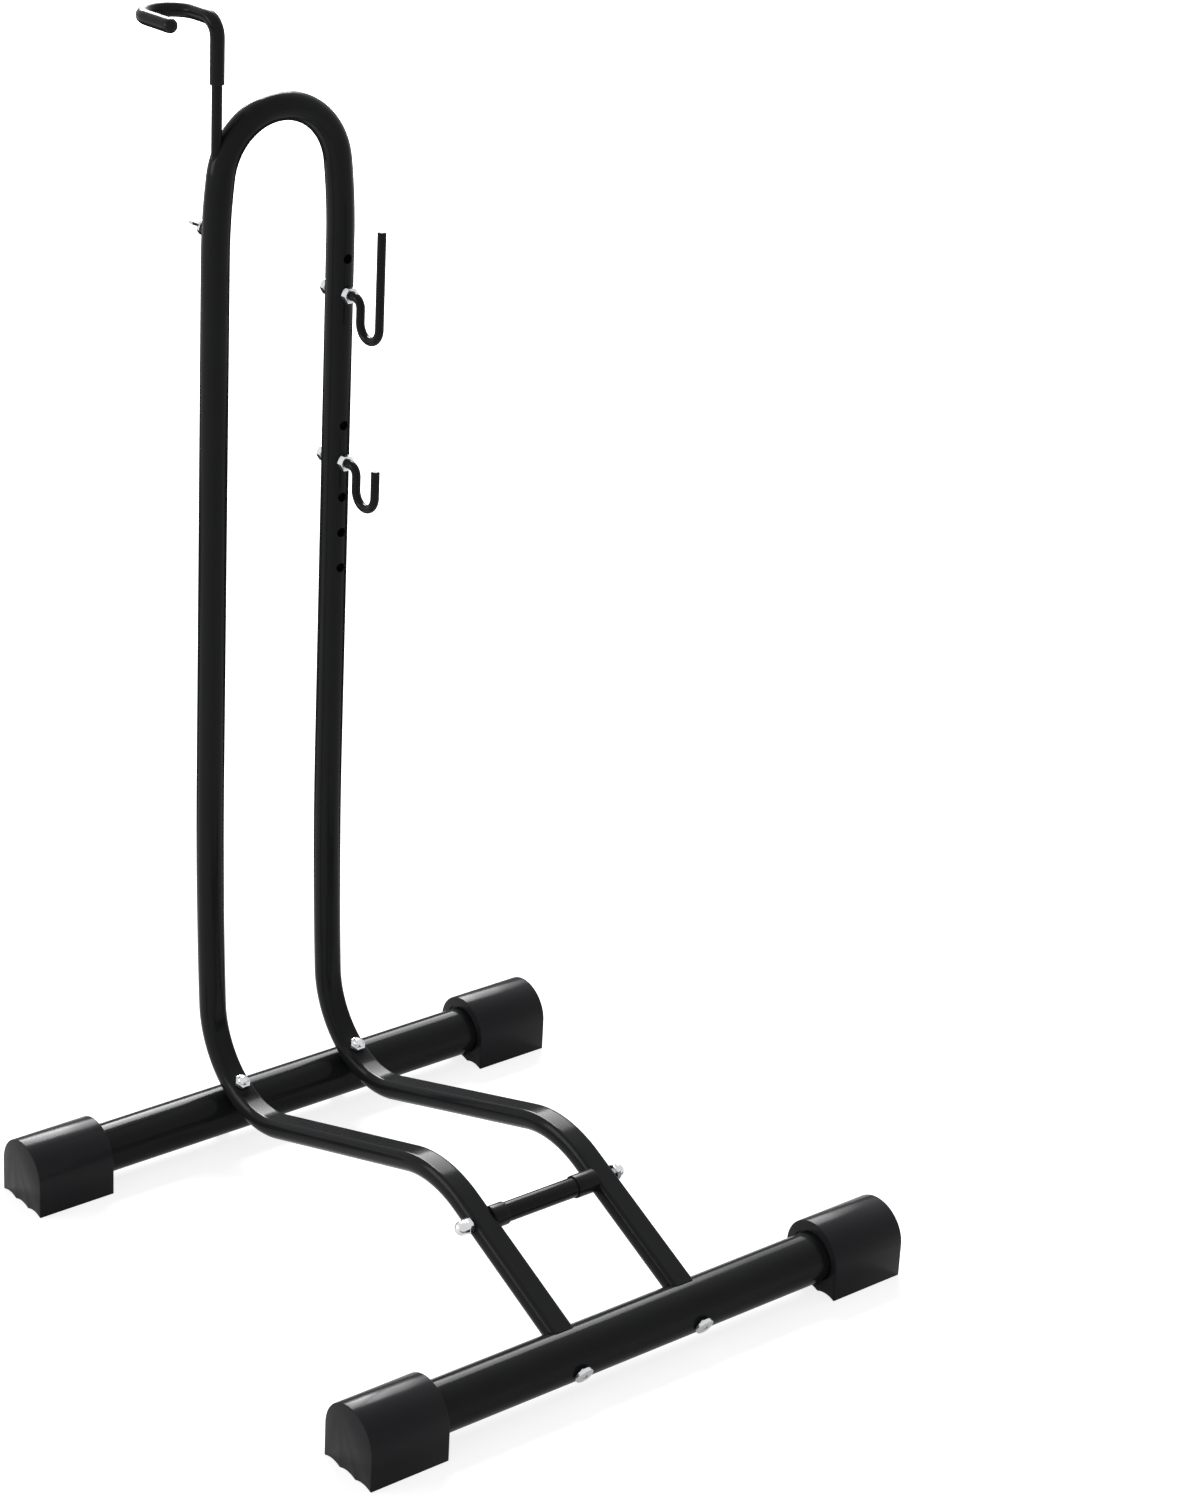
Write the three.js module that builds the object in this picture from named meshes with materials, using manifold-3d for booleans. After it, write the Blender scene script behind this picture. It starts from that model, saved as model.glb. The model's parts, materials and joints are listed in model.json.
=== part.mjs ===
// Vertical bike stand. One bent tube frame stands on two crossbars with rubber feet. The rear wheel stands
// between its legs, two J-hooks on the right leg catch the rim, and a sleeved rod that slides in the left leg
// hooks round the wheel from above. Lengths are millimetres, +Z is up, and the open front of the stand is -Y.
import * as THREE from "three";
import { mergeVertices, toCreasedNormals } from "three/addons/utils/BufferGeometryUtils.js";
import Module from "manifold-3d";

const wasm = await Module();
wasm.setup();

const degrees = Math.PI / 180;

// Clearance between pieces that touch, and how far a cut runs past the faces that it opens
const gap = 0.3;
const overrun = 2;

// Points closer than this are one point of a mesh
const weldDistance = 1e-5;

// Crossbars
const standWidth = 434.7;
const barSpacing = 376.7;
const barHeight = 21.84;
const barRadius = 17;
const barWall = 1.5;

// Feet
const footLength = 58.7;
const footWidth = 48;
const footArchHeight = 23.1;
const footEndWall = 4;
const footEdge = 0.6;
const footMouthStep = 1.6;
const footMouthDepth = 1.2;
const ridgeWidth = 2;
const scallopDepth = 1.2;
const ridgeCount = 4;

// Frame tube, from the front crossbar back over the hump, round the heel and up to the hoop
const legSpacing = 99.08;
const tubeRadius = 9.5;
const tubeWall = 1.5;
const frontOffset = 7.9;
const frontSlope = 25.36 * degrees;
const humpRadius = 80.9;
const runSlope = 17.54 * degrees;
const heelRadius = 65.3;
const saddleAngle = 59.5 * degrees;
const saddleDent = 0.5;
const leanRadius = 2712;
const leanAngle = 3.59 * degrees;
const hoopHeight = 735.2;
const hoopSideRadius = 414;
const hoopSideAngle = 7.41 * degrees;

// Flat-topped section that the tube is pressed to below these heights
const pressedHalfWidth = 9.55;
const pressedTop = 6.85;
const pressedBottom = 8.7;
const pressStartHeight = 120;
const pressFullHeight = 45;

// Screws, studs and nuts of the stand
const boltRadius = 3;
const nutAcrossFlats = 10;
const nutHeight = 5;
const threadChamfer = 0.5;
const boltHeadRadius = 6;
const boltHeadHeight = 3.4;
const boltHeadRim = 1;

// Low cap nuts on the rear bolts, which stand forward round the heel by this turn
const rearCapHexHeight = 3.4;
const rearCapDomeRadius = 3.9;
const rearCapHeight = 6.3;
const rearThreadReach = 2.8;
const rearBoltTurn = 1.5 * degrees;

// Cap nuts on the spacer's stud, a tall one on the left and a low one on the right
const spacerCapHexHeight = 3.2;
const spacerCapDomeRadius = 4.8;
const leftSpacerCapHeight = 11.2;
const rightSpacerCapHeight = 8.5;
const spacerCapBoreDepth = 4.4;
const spacerThreadReach = 3.5;

// Front screws and the threaded plugs inside the leg ends
const screwRadius = 2.5;
const screwDrop = 3.5;
const screwHeadRadius = 6.4;
const screwHeadHeight = 3.2;
const plugLength = 16;
const recessWidth = 1.2;
const recessLength = 6;
const recessDepth = 1.8;

// Spacer between the legs, its two sleeves and the stud through it
const spacerAlong = 17.3;
const spacerRise = 1.9;
const spacerRadius = 6.65;
const spacerWall = 1.2;
const spacerLap = 2.5;
const sleeveRadius = 7.65;
const leftSleeveLength = 8.6;
const rightSleeveLength = 14.3;

// J-hooks and the holes in the right leg, a lower rack and an upper one that hangs below the hoop's top
const hookRadius = 3;
const hookStraight = 3.3;
const hookBendRadius = 6.4;
const hookDrop = 15.2;
const hookThroatRadius = 10.55;
const hookTail = 2.2;
const hookTipChamfer = 0.8;
const lowerHolePitch = 25.4;
const lowerRackHeight = 402.7;
const lowerRackHoles = 5;
const shortHookHole = 3;
const upperHolePitch = 23.9;
const upperRackDrop = 139.6;
const upperRackHoles = 2;
const longHookHole = 0;
const shortHookProng = 18.7;
const longHookProng = 65.8;

// Sliding rod, its bent arm above the hoop and the vinyl sleeve on it, which both end below the arm
const rodRadius = 3.5;
const rodDrop = 286.6;
const armRise = 51.4;
const armBendRadius = 12;
const armReach = 24.7;
const armTurnRadius = 18.05;
const armReturn = 25.4;
const coverRadius = 4.85;
const coverDrop = 41.4;
const coverRounding = 0.8;

// Clamp below the hoop's top: welded boss and wing screw
const clampDrop = 85.8;
const bossRadius = 5.9;
const bossRise = 1.9;
const hubRadius = 5.2;
const hubLength = 3.8;
const wingThickness = 2;
const wingTipRadius = 3.3;
const wingTipReach = 8.6;
const wingTipRise = 5.5;
const wingRootLow = 1;
const wingRootHigh = 5;
const wingTurn = 24 * degrees;
const wingLowAngle = -75 * degrees;
const wingHighAngle = 115 * degrees;

// Facet counts
const tubeSides = 20;
const boreSides = 10;
const barSides = 30;
const wireSides = 10;
const roundSides = 16;
const humpSteps = 5;
const heelSteps = 10;
const leanSteps = 3;
const hoopSideSteps = 3;
const hoopTopSteps = 12;
const smallBendSteps = 5;
const halfTurnSteps = 10;
const domeSteps = 3;
const footArcSegments = 6;
const wingArcSegments = 6;
const creaseAngle = 32 * degrees;

// Axes
const xAxis = new THREE.Vector3(1, 0, 0);
const yAxis = new THREE.Vector3(0, 1, 0);
const zAxis = new THREE.Vector3(0, 0, 1);

// Materials
function finish(colour, roughness, metalness) {
  return new THREE.MeshStandardMaterial({ color: colour, roughness, metalness });
}
const powderCoat = () => finish(0x242527, 0.45, 0.1);
const rubber = () => finish(0x2b2b2c, 0.6, 0);
const vinyl = () => finish(0x202022, 0.4, 0);
const zinc = () => finish(0xc6c8ca, 0.28, 1);

// A closed mesh as a solid that can be joined and cut
function solidOf(geometry) {
  const bare = new THREE.BufferGeometry();
  bare.setAttribute("position", geometry.getAttribute("position"));
  bare.setIndex(geometry.getIndex());
  const merged = mergeVertices(bare, weldDistance);
  return new wasm.Manifold(
    new wasm.Mesh({
      numProp: 3,
      vertProperties: new Float32Array(merged.getAttribute("position").array),
      triVerts: new Uint32Array(merged.getIndex().array),
    }),
  );
}

// A solid as a mesh geometry whose edges past the crease angle stay sharp
function geometryOf(solid) {
  const mesh = solid.getMesh();
  const positions = [];
  for (let i = 0; i < mesh.vertProperties.length; i += mesh.numProp) {
    positions.push(...mesh.vertProperties.subarray(i, i + 3));
  }
  const geometry = new THREE.BufferGeometry();
  geometry.setAttribute("position", new THREE.Float32BufferAttribute(positions, 3));
  geometry.setIndex(new THREE.BufferAttribute(new Uint32Array(mesh.triVerts), 1));
  return toCreasedNormals(geometry, creaseAngle);
}

// The turn that takes +Y to a direction
function turnTo(direction) {
  return new THREE.Quaternion().setFromUnitVectors(yAxis, direction);
}

// A round bar between two points, for cuts
function roundCut(radius, from, to, sides) {
  const direction = to.clone().sub(from);
  const length = direction.length();
  const geometry = new THREE.CylinderGeometry(radius, radius, length, sides);
  geometry.applyQuaternion(turnTo(direction.normalize()));
  const middle = from.clone().add(to).divideScalar(2);
  geometry.translate(middle.x, middle.y, middle.z);
  return solidOf(geometry);
}

// A revolved profile of [radius, height] pairs, from the foot of the axis outwards and up
function revolved(profile, sides) {
  const points = profile.map(([radius, height]) => new THREE.Vector2(radius, height));
  return new THREE.LatheGeometry(points, sides);
}

// A tube of one wall along +Y, centred on the origin
function tubeGeometry(radius, wall, length, sides) {
  const inner = radius - wall;
  const profile = [
    [inner, -length / 2],
    [radius, -length / 2],
    [radius, length / 2],
    [inner, length / 2],
    [inner, -length / 2],
  ];
  return revolved(profile, sides);
}

// A quarter round of steps from a rim to the top of a dome, as [radius, height] pairs
function domeProfile(radius, foot, top) {
  return Array.from({ length: domeSteps + 1 }, (_, i) => {
    const angle = ((i / domeSteps) * Math.PI) / 2;
    const onAxis = i === domeSteps;
    return [onAxis ? 0 : radius * Math.cos(angle), foot + (top - foot) * Math.sin(angle)];
  });
}

// A route of straights and bends: each stop holds its centre, its direction and its upper side
class Route {
  constructor(start, along, up) {
    this.stops = [{ centre: start.clone(), along: along.clone(), up: up.clone() }];
  }

  get end() {
    return this.stops[this.stops.length - 1];
  }

  straight(length) {
    const { centre, along, up } = this.end;
    this.stops.push({ centre: centre.clone().addScaledVector(along, length), along, up });
    return this;
  }

  bend(radius, angle, axis, steps) {
    const { centre, along, up } = this.end;
    const side = axis.clone().multiplyScalar(Math.sign(angle)).cross(along);
    const hub = centre.clone().addScaledVector(side, radius);
    for (let i = 1; i <= steps; i += 1) {
      const turn = new THREE.Quaternion().setFromAxisAngle(axis, (angle * i) / steps);
      const arm = centre.clone().sub(hub).applyQuaternion(turn);
      this.stops.push({
        centre: hub.clone().add(arm),
        along: along.clone().applyQuaternion(turn),
        up: up.clone().applyQuaternion(turn),
      });
    }
    return this;
  }
}

// A closed body swept along stops, with the outline that outlineAt gives at each
function sweep(stops, outlineAt) {
  const positions = [];
  const rings = stops.map((stop, index) => {
    const across = stop.up.clone().cross(stop.along);
    const first = positions.length / 3;
    const outline = outlineAt(stop, index);
    for (const [x, y] of outline) {
      const point = stop.centre.clone().addScaledVector(across, x).addScaledVector(stop.up, y);
      positions.push(point.x, point.y, point.z);
    }
    return { first, sides: outline.length };
  });
  const faces = [];
  const sides = rings[0].sides;
  for (let i = 0; i + 1 < rings.length; i += 1) {
    for (let j = 0; j < sides; j += 1) {
      const next = (j + 1) % sides;
      const a = rings[i].first + j;
      const b = rings[i].first + next;
      const c = rings[i + 1].first + next;
      const d = rings[i + 1].first + j;
      faces.push(a, b, c, a, c, d);
    }
  }
  const startCap = positions.length / 3;
  positions.push(...stops[0].centre.toArray());
  const endCap = startCap + 1;
  positions.push(...stops[stops.length - 1].centre.toArray());
  const lastRing = rings[rings.length - 1].first;
  for (let j = 0; j < sides; j += 1) {
    const next = (j + 1) % sides;
    faces.push(startCap, next, j);
    faces.push(endCap, lastRing + j, lastRing + next);
  }
  const geometry = new THREE.BufferGeometry();
  geometry.setAttribute("position", new THREE.Float32BufferAttribute(positions, 3));
  geometry.setIndex(faces);
  return geometry;
}

// A round outline
function roundOutline(radius, sides) {
  return Array.from({ length: sides }, (_, i) => {
    const angle = (i / sides) * 2 * Math.PI;
    return [radius * Math.cos(angle), radius * Math.sin(angle)];
  });
}

// The frame tube's outline between round, at share 0, and pressed flat on top, at share 1
function tubeOutline(share, inset, sides) {
  const halfWidth = THREE.MathUtils.lerp(tubeRadius, pressedHalfWidth, share) - inset;
  const top = THREE.MathUtils.lerp(tubeRadius, pressedTop, share) - inset;
  const bottom = THREE.MathUtils.lerp(tubeRadius, pressedBottom, share) - inset;
  return Array.from({ length: sides }, (_, i) => {
    const angle = (i / sides) * 2 * Math.PI;
    const rise = Math.sin(angle);
    const height = rise < 0 ? bottom * rise : Math.min((tubeRadius - inset) * rise, top);
    return [halfWidth * Math.cos(angle), height];
  });
}

// A direction in the YZ plane, by its slope above +Y
function slopeDirection(angle) {
  return new THREE.Vector3(0, Math.cos(angle), Math.sin(angle));
}

// The lengths of the front straight and of the run that join the front crossbar to the heel
function legLengths(frontStart, heelCentre) {
  const front = slopeDirection(frontSlope);
  const frontUp = slopeDirection(frontSlope + Math.PI / 2);
  const run = slopeDirection(-runSlope);
  const runUp = slopeDirection(Math.PI / 2 - runSlope);
  const rest = heelCentre
    .clone()
    .sub(frontStart)
    .addScaledVector(frontUp, humpRadius)
    .addScaledVector(runUp, -humpRadius - heelRadius);
  const cross = (a, b) => a.y * b.z - a.z * b.y;
  return {
    frontLength: cross(rest, run) / cross(front, run),
    runLength: cross(front, rest) / cross(front, run),
  };
}

// Places that the pieces share
const legX = legSpacing / 2;
const frontBar = new THREE.Vector3(0, -barSpacing / 2, barHeight);
const rearBar = new THREE.Vector3(0, barSpacing / 2, barHeight);
const frontAlong = slopeDirection(frontSlope);
const frontUp = slopeDirection(frontSlope + Math.PI / 2);
const frontStart = frontBar.clone().addScaledVector(frontUp, frontOffset);
const saddleUp = slopeDirection(Math.PI - saddleAngle);
const saddleDistance = barRadius + gap + pressedBottom - saddleDent;
const heelDistance = saddleDistance + heelRadius;
const heelCentre = rearBar.clone().addScaledVector(saddleUp, heelDistance);
const rearBoltUp = slopeDirection(Math.PI - saddleAngle - rearBoltTurn);
const rearBoltFoot = heelCentre.clone().addScaledVector(rearBoltUp, -heelDistance * Math.cos(rearBoltTurn));
const { frontLength, runLength } = legLengths(frontStart, heelCentre);
const hoopTopRadius = (legX - hoopSideRadius * (1 - Math.cos(hoopSideAngle))) / Math.cos(hoopSideAngle);
const hoopTopCentreHeight = hoopHeight - tubeRadius - hoopTopRadius;
const hoopStartHeight = hoopTopCentreHeight + (hoopTopRadius - hoopSideRadius) * Math.sin(hoopSideAngle);
const legY = heelCentre.y + heelRadius * Math.cos(leanAngle) + leanRadius * (1 - Math.cos(leanAngle));
const leanEndHeight = heelCentre.z + (leanRadius - heelRadius) * Math.sin(leanAngle);
const upperRackHeight = hoopHeight - upperRackDrop;
const shortHookHeight = lowerRackHeight + shortHookHole * lowerHolePitch;
const longHookHeight = upperRackHeight + longHookHole * upperHolePitch;
const armHeight = hoopHeight + armRise;
const rodBottomHeight = armHeight - rodDrop;
const coverBottomHeight = armHeight - coverDrop;
const clampHeight = hoopHeight - clampDrop;
const nutCornerRadius = nutAcrossFlats / 2 / Math.cos(Math.PI / 6);
const humpEnd = frontStart.clone().addScaledVector(frontAlong, frontLength);
const spacerCentre = humpEnd
  .clone()
  .addScaledVector(frontAlong, -spacerAlong)
  .addScaledVector(frontUp, spacerRise);

// The x of the left leg's axis at a height where the hoop's side curves in
function leftLegX(height) {
  const above = Math.max(height - hoopStartHeight, 0);
  return hoopSideRadius - Math.sqrt(hoopSideRadius ** 2 - above ** 2) - legX;
}

// Frame tube

function frameRoute() {
  const start = new THREE.Vector3(-legX, frontStart.y, frontStart.z);
  const heelAngle = Math.PI / 2 - leanAngle + runSlope;
  const humpAngle = frontSlope + runSlope;
  const legLength = hoopStartHeight - leanEndHeight;
  return new Route(start, frontAlong, frontUp)
    .straight(frontLength)
    .bend(humpRadius, -humpAngle, xAxis, humpSteps)
    .straight(runLength)
    .bend(heelRadius, heelAngle, xAxis, heelSteps)
    .bend(leanRadius, leanAngle, xAxis, leanSteps)
    .straight(legLength)
    .bend(hoopSideRadius, hoopSideAngle, yAxis, hoopSideSteps)
    .bend(hoopTopRadius, Math.PI - 2 * hoopSideAngle, yAxis, hoopTopSteps)
    .bend(hoopSideRadius, hoopSideAngle, yAxis, hoopSideSteps)
    .straight(legLength)
    .bend(leanRadius, -leanAngle, xAxis, leanSteps)
    .bend(heelRadius, -heelAngle, xAxis, heelSteps)
    .straight(runLength)
    .bend(humpRadius, humpAngle, xAxis, humpSteps)
    .straight(frontLength);
}

// How far the tube is pressed at a stop: fully in front of the heel, less and less up its back
function pressedShare({ centre, along }) {
  const inFront = centre.y < heelCentre.y || Math.abs(along.y) > Math.cos(runSlope);
  const share = (pressStartHeight - centre.z) / (pressStartHeight - pressFullHeight);
  return inFront ? 1 : THREE.MathUtils.smoothstep(share, 0, 1);
}

// A crossbar with the clearance that its neighbours keep
function barCut(bar) {
  const half = new THREE.Vector3(standWidth / 2, 0, 0);
  return roundCut(barRadius + gap, bar.clone().sub(half), bar.clone().add(half), barSides);
}

// The hole of a front screw on one side, through the crossbar and into the leg end
function frontScrewAxis(side) {
  return frontBar.clone().addScaledVector(frontUp, frontOffset - screwDrop).setX(side * legX);
}

function frontScrewCut(side) {
  const axis = frontScrewAxis(side);
  const reach = barRadius + plugLength + overrun;
  const from = axis.clone().addScaledVector(frontAlong, -reach);
  const to = axis.clone().addScaledVector(frontAlong, reach);
  return roundCut(screwRadius + gap, from, to, boreSides);
}

// The hole of a rear bolt on one side, through the crossbar and the leg
function rearBoltCut(side) {
  const axis = rearBoltFoot.clone().setX(side * legX);
  const reach = saddleDistance + tubeRadius + overrun;
  const from = axis.clone().addScaledVector(rearBoltUp, -reach);
  const to = axis.clone().addScaledVector(rearBoltUp, reach);
  return roundCut(boltRadius + gap, from, to, boreSides);
}

// The hole of the spacer's stud through one leg
function spacerCut(side) {
  const reach = new THREE.Vector3(pressedHalfWidth + overrun, 0, 0);
  const axis = spacerCentre.clone().setX(side * legX);
  return roundCut(boltRadius + gap, axis.clone().sub(reach), axis.clone().add(reach), boreSides);
}

// A hook hole through the right leg at a height
function hookHoleCut(height) {
  const reach = new THREE.Vector3(0, tubeRadius + overrun, 0);
  const axis = new THREE.Vector3(legX, legY, height);
  return roundCut(hookRadius + gap, axis.clone().sub(reach), axis.clone().add(reach), boreSides);
}

function hookHoleHeights() {
  const rack = (foot, pitch, count) => Array.from({ length: count }, (_, i) => foot + i * pitch);
  const lower = rack(lowerRackHeight, lowerHolePitch, lowerRackHoles);
  return [...lower, ...rack(upperRackHeight, upperHolePitch, upperRackHoles)];
}

// The slot where the sliding rod leaves the hoop, and the hole of the wing screw
function rodCut() {
  const from = new THREE.Vector3(-legX, legY, hoopStartHeight);
  const to = new THREE.Vector3(-legX, legY, hoopHeight + overrun);
  return roundCut(rodRadius + gap, from, to, boreSides);
}

function clampCut() {
  const from = new THREE.Vector3(leftLegX(clampHeight), legY, clampHeight);
  const to = from.clone().addScaledVector(yAxis, tubeRadius + bossRise + overrun);
  return roundCut(boltRadius + gap, from, to, boreSides);
}

function frameTube() {
  const { stops } = frameRoute();
  const outer = solidOf(sweep(stops, (stop) => tubeOutline(pressedShare(stop), 0, tubeSides)));
  const inner = solidOf(sweep(stops, (stop) => tubeOutline(pressedShare(stop), tubeWall, boreSides)));
  const cuts = [barCut(frontBar), barCut(rearBar), rodCut(), clampCut()];
  for (const side of [-1, 1]) {
    cuts.push(rearBoltCut(side), spacerCut(side));
  }
  for (const height of hookHoleHeights()) {
    cuts.push(hookHoleCut(height));
  }
  return geometryOf(cuts.reduce((solid, cut) => solid.subtract(cut), outer.subtract(inner)));
}

// Crossbars

function crossbar(bar, boltCuts) {
  const length = standWidth - 2 * (footEndWall + gap);
  const tube = tubeGeometry(barRadius, barWall, length, barSides);
  tube.applyQuaternion(turnTo(xAxis));
  tube.translate(bar.x, bar.y, bar.z);
  return geometryOf(boltCuts.reduce((solid, cut) => solid.subtract(cut), solidOf(tube)));
}

// Feet, with the crossbar's end in a bore and ridges under the sole

function footOutline() {
  const shape = new THREE.Shape();
  const half = footWidth / 2;
  const scallopWidth = (footWidth - ridgeCount * ridgeWidth) / (ridgeCount - 1);
  shape.moveTo(-half, 0);
  for (let i = 0; i + 1 < ridgeCount; i += 1) {
    const from = -half + ridgeWidth + i * (ridgeWidth + scallopWidth);
    shape.lineTo(from, 0);
    shape.quadraticCurveTo(from + scallopWidth / 2, 2 * scallopDepth, from + scallopWidth, 0);
  }
  shape.lineTo(half, 0);
  shape.lineTo(half, footArchHeight);
  shape.absarc(0, footArchHeight, half, 0, Math.PI, false);
  shape.lineTo(-half, 0);
  return shape;
}

// A foot about the floor point under its crossbar's axis, with its outer end towards +X
function foot() {
  const block = new THREE.ExtrudeGeometry(footOutline(), {
    depth: footLength - 2 * footEdge,
    bevelEnabled: true,
    bevelThickness: footEdge,
    bevelSize: footEdge,
    bevelOffset: -footEdge,
    bevelSegments: 1,
    curveSegments: footArcSegments,
  });
  block.translate(0, 0, footEdge);
  block.applyMatrix4(new THREE.Matrix4().makeBasis(yAxis, zAxis, xAxis));
  const boreEnd = new THREE.Vector3(footLength - footEndWall, 0, barHeight);
  const mouth = new THREE.Vector3(-overrun, 0, barHeight);
  const mouthEnd = new THREE.Vector3(footMouthDepth, 0, barHeight);
  const bore = roundCut(barRadius + gap, mouth, boreEnd, barSides);
  const step = roundCut(barRadius + footMouthStep, mouth, mouthEnd, barSides);
  return geometryOf(solidOf(block).subtract(bore).subtract(step));
}

// Nuts, bolts and screws, each on +Y with its seat at zero

// A hexagon with both ends chamfered
function hexSolid(acrossFlats, height) {
  const corner = acrossFlats / 2 / Math.cos(Math.PI / 6);
  const chamfer = (corner - acrossFlats / 2) * Math.tan(Math.PI / 6);
  const prism = new THREE.CylinderGeometry(corner, corner, height, 6);
  prism.translate(0, height / 2, 0);
  const cone = revolved(
    [
      [0, 0],
      [acrossFlats / 2, 0],
      [corner, chamfer],
      [corner, height - chamfer],
      [acrossFlats / 2, height],
      [0, height],
    ],
    roundSides,
  );
  return solidOf(prism).intersect(solidOf(cone));
}

function hexNut() {
  const from = new THREE.Vector3(0, -overrun, 0);
  const to = new THREE.Vector3(0, nutHeight + overrun, 0);
  const bore = roundCut(hookRadius + gap, from, to, boreSides);
  return geometryOf(hexSolid(nutAcrossFlats, nutHeight).subtract(bore));
}

function capNut(hexHeight, domeRadius, height, boreDepth) {
  const dome = revolved([[0, 0], [domeRadius, 0], ...domeProfile(domeRadius, hexHeight, height)], roundSides);
  const from = new THREE.Vector3(0, -overrun, 0);
  const to = new THREE.Vector3(0, boreDepth, 0);
  const bore = roundCut(boltRadius + gap, from, to, boreSides);
  return geometryOf(hexSolid(nutAcrossFlats, hexHeight).add(solidOf(dome)).subtract(bore));
}

function rearCapNut() {
  return capNut(rearCapHexHeight, rearCapDomeRadius, rearCapHeight, rearCapHexHeight);
}

function spacerCapNut(side) {
  const height = side < 0 ? leftSpacerCapHeight : rightSpacerCapHeight;
  return capNut(spacerCapHexHeight, spacerCapDomeRadius, height, spacerCapBoreDepth);
}

// A domed head above zero on a shank that reaches down
function headedScrew(shankRadius, shankLength, headRadius, headHeight) {
  const profile = [
    [0, -shankLength],
    [shankRadius - threadChamfer, -shankLength],
    [shankRadius, threadChamfer - shankLength],
    [shankRadius, 0],
    [headRadius, 0],
    ...domeProfile(headRadius, boltHeadRim, headHeight),
  ];
  return revolved(profile, roundSides);
}

// Two crossed slots in the top of a head
function crossRecess(top) {
  const bar = () => new THREE.BoxGeometry(recessLength, recessDepth * 2, recessWidth);
  const first = bar();
  const second = bar();
  second.rotateY(Math.PI / 2);
  first.translate(0, top, 0);
  second.translate(0, top, 0);
  return solidOf(first).add(solidOf(second));
}

function frontScrew() {
  const length = barRadius + gap + barRadius + plugLength;
  const screw = headedScrew(screwRadius, length, screwHeadRadius, screwHeadHeight);
  return geometryOf(solidOf(screw).subtract(crossRecess(screwHeadHeight)));
}

// The distance from a rear bolt's foot to where the nut's corners meet the inside of the heel
const heelSeatRadius = Math.sqrt((heelRadius - pressedTop) ** 2 - nutCornerRadius ** 2);
const rearNutSeat = heelDistance * Math.cos(rearBoltTurn) - heelSeatRadius + gap;

function rearBolt() {
  const length = barRadius + gap + rearNutSeat + rearThreadReach;
  const bolt = headedScrew(boltRadius, length, boltHeadRadius, boltHeadHeight);
  return geometryOf(solidOf(bolt).subtract(crossRecess(boltHeadHeight)));
}

// The plug in a leg end, cut to the crossbar and threaded for the front screw
function legPlug(side) {
  const start = new THREE.Vector3(side * legX, frontStart.y, frontStart.z);
  const route = new Route(start, frontAlong, frontUp).straight(barRadius + plugLength);
  const body = sweep(route.stops, () => tubeOutline(1, tubeWall + gap, boreSides));
  return geometryOf(solidOf(body).subtract(barCut(frontBar)).subtract(frontScrewCut(side)));
}

// Spacer, sleeves and stud between the legs

const legInnerX = legX - pressedHalfWidth;

// The front straight of both legs with the clearance that the spacer's shaped ends keep
function legCuts() {
  return [-1, 1].map((side) => {
    const start = new THREE.Vector3(side * legX, frontStart.y, frontStart.z);
    const { stops } = new Route(start, frontAlong, frontUp).straight(frontLength);
    return solidOf(sweep(stops, () => tubeOutline(1, -gap, tubeSides)));
  });
}

// A tube on the spacer's axis between two places along X, with its ends shaped to the legs
function spacerPiece(radius, wall, from, to) {
  const tube = tubeGeometry(radius, wall, to - from, roundSides);
  tube.applyQuaternion(turnTo(xAxis));
  tube.translate((from + to) / 2, spacerCentre.y, spacerCentre.z);
  return geometryOf(legCuts().reduce((solid, cut) => solid.subtract(cut), solidOf(tube)));
}

function spacerTube() {
  const end = legInnerX + spacerLap;
  return spacerPiece(spacerRadius, spacerWall, -end, end);
}

function spacerSleeve(side) {
  const wall = sleeveRadius - spacerRadius - gap;
  const end = legInnerX + spacerLap;
  const start = legInnerX - (side < 0 ? leftSleeveLength : rightSleeveLength);
  return spacerPiece(sleeveRadius, wall, side < 0 ? -end : start, side < 0 ? -start : end);
}

function spacerStud() {
  const reach = legX + pressedHalfWidth + gap + spacerThreadReach;
  const profile = [
    [0, -reach],
    [boltRadius - threadChamfer, -reach],
    [boltRadius, threadChamfer - reach],
    [boltRadius, reach - threadChamfer],
    [boltRadius - threadChamfer, reach],
    [0, reach],
  ];
  return revolved(profile, roundSides);
}

// J-hooks

// A wire along a route, with a chamfer at each end
function wire(route, radius, chamfer) {
  const { stops } = route;
  const first = stops[0];
  const last = route.end;
  const start = { ...first, centre: first.centre.clone().addScaledVector(first.along, -chamfer) };
  const end = { ...last, centre: last.centre.clone().addScaledVector(last.along, chamfer) };
  const all = [start, ...stops, end];
  const atEnd = (index) => index === 0 || index === all.length - 1;
  return sweep(all, (_, index) => roundOutline(atEnd(index) ? radius - chamfer : radius, wireSides));
}

function hook(height, prong) {
  const tailY = legY + tubeRadius + gap + nutHeight + hookTail;
  const bendY = legY - tubeRadius - gap - nutHeight - hookStraight;
  const start = new THREE.Vector3(legX, tailY - hookTipChamfer, height);
  const forward = new THREE.Vector3(0, -1, 0);
  const route = new Route(start, forward, zAxis)
    .straight(tailY - hookTipChamfer - bendY)
    .bend(hookBendRadius, Math.PI / 2, xAxis, smallBendSteps)
    .straight(hookDrop - hookBendRadius)
    .bend(hookThroatRadius, -Math.PI, xAxis, halfTurnSteps)
    .straight(prong - hookTipChamfer);
  return wire(route, hookRadius, hookTipChamfer);
}

// Sliding rod and its cover

function armRoute(bottomHeight, endGap) {
  const start = new THREE.Vector3(-legX, legY, bottomHeight);
  const up = new THREE.Vector3(0, -1, 0);
  return new Route(start, zAxis, up)
    .straight(armHeight - armBendRadius - bottomHeight)
    .bend(armBendRadius, -Math.PI / 2, xAxis, smallBendSteps)
    .straight(armReach - armBendRadius)
    .bend(armTurnRadius, Math.PI, zAxis, halfTurnSteps)
    .straight(armReturn - endGap);
}

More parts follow.
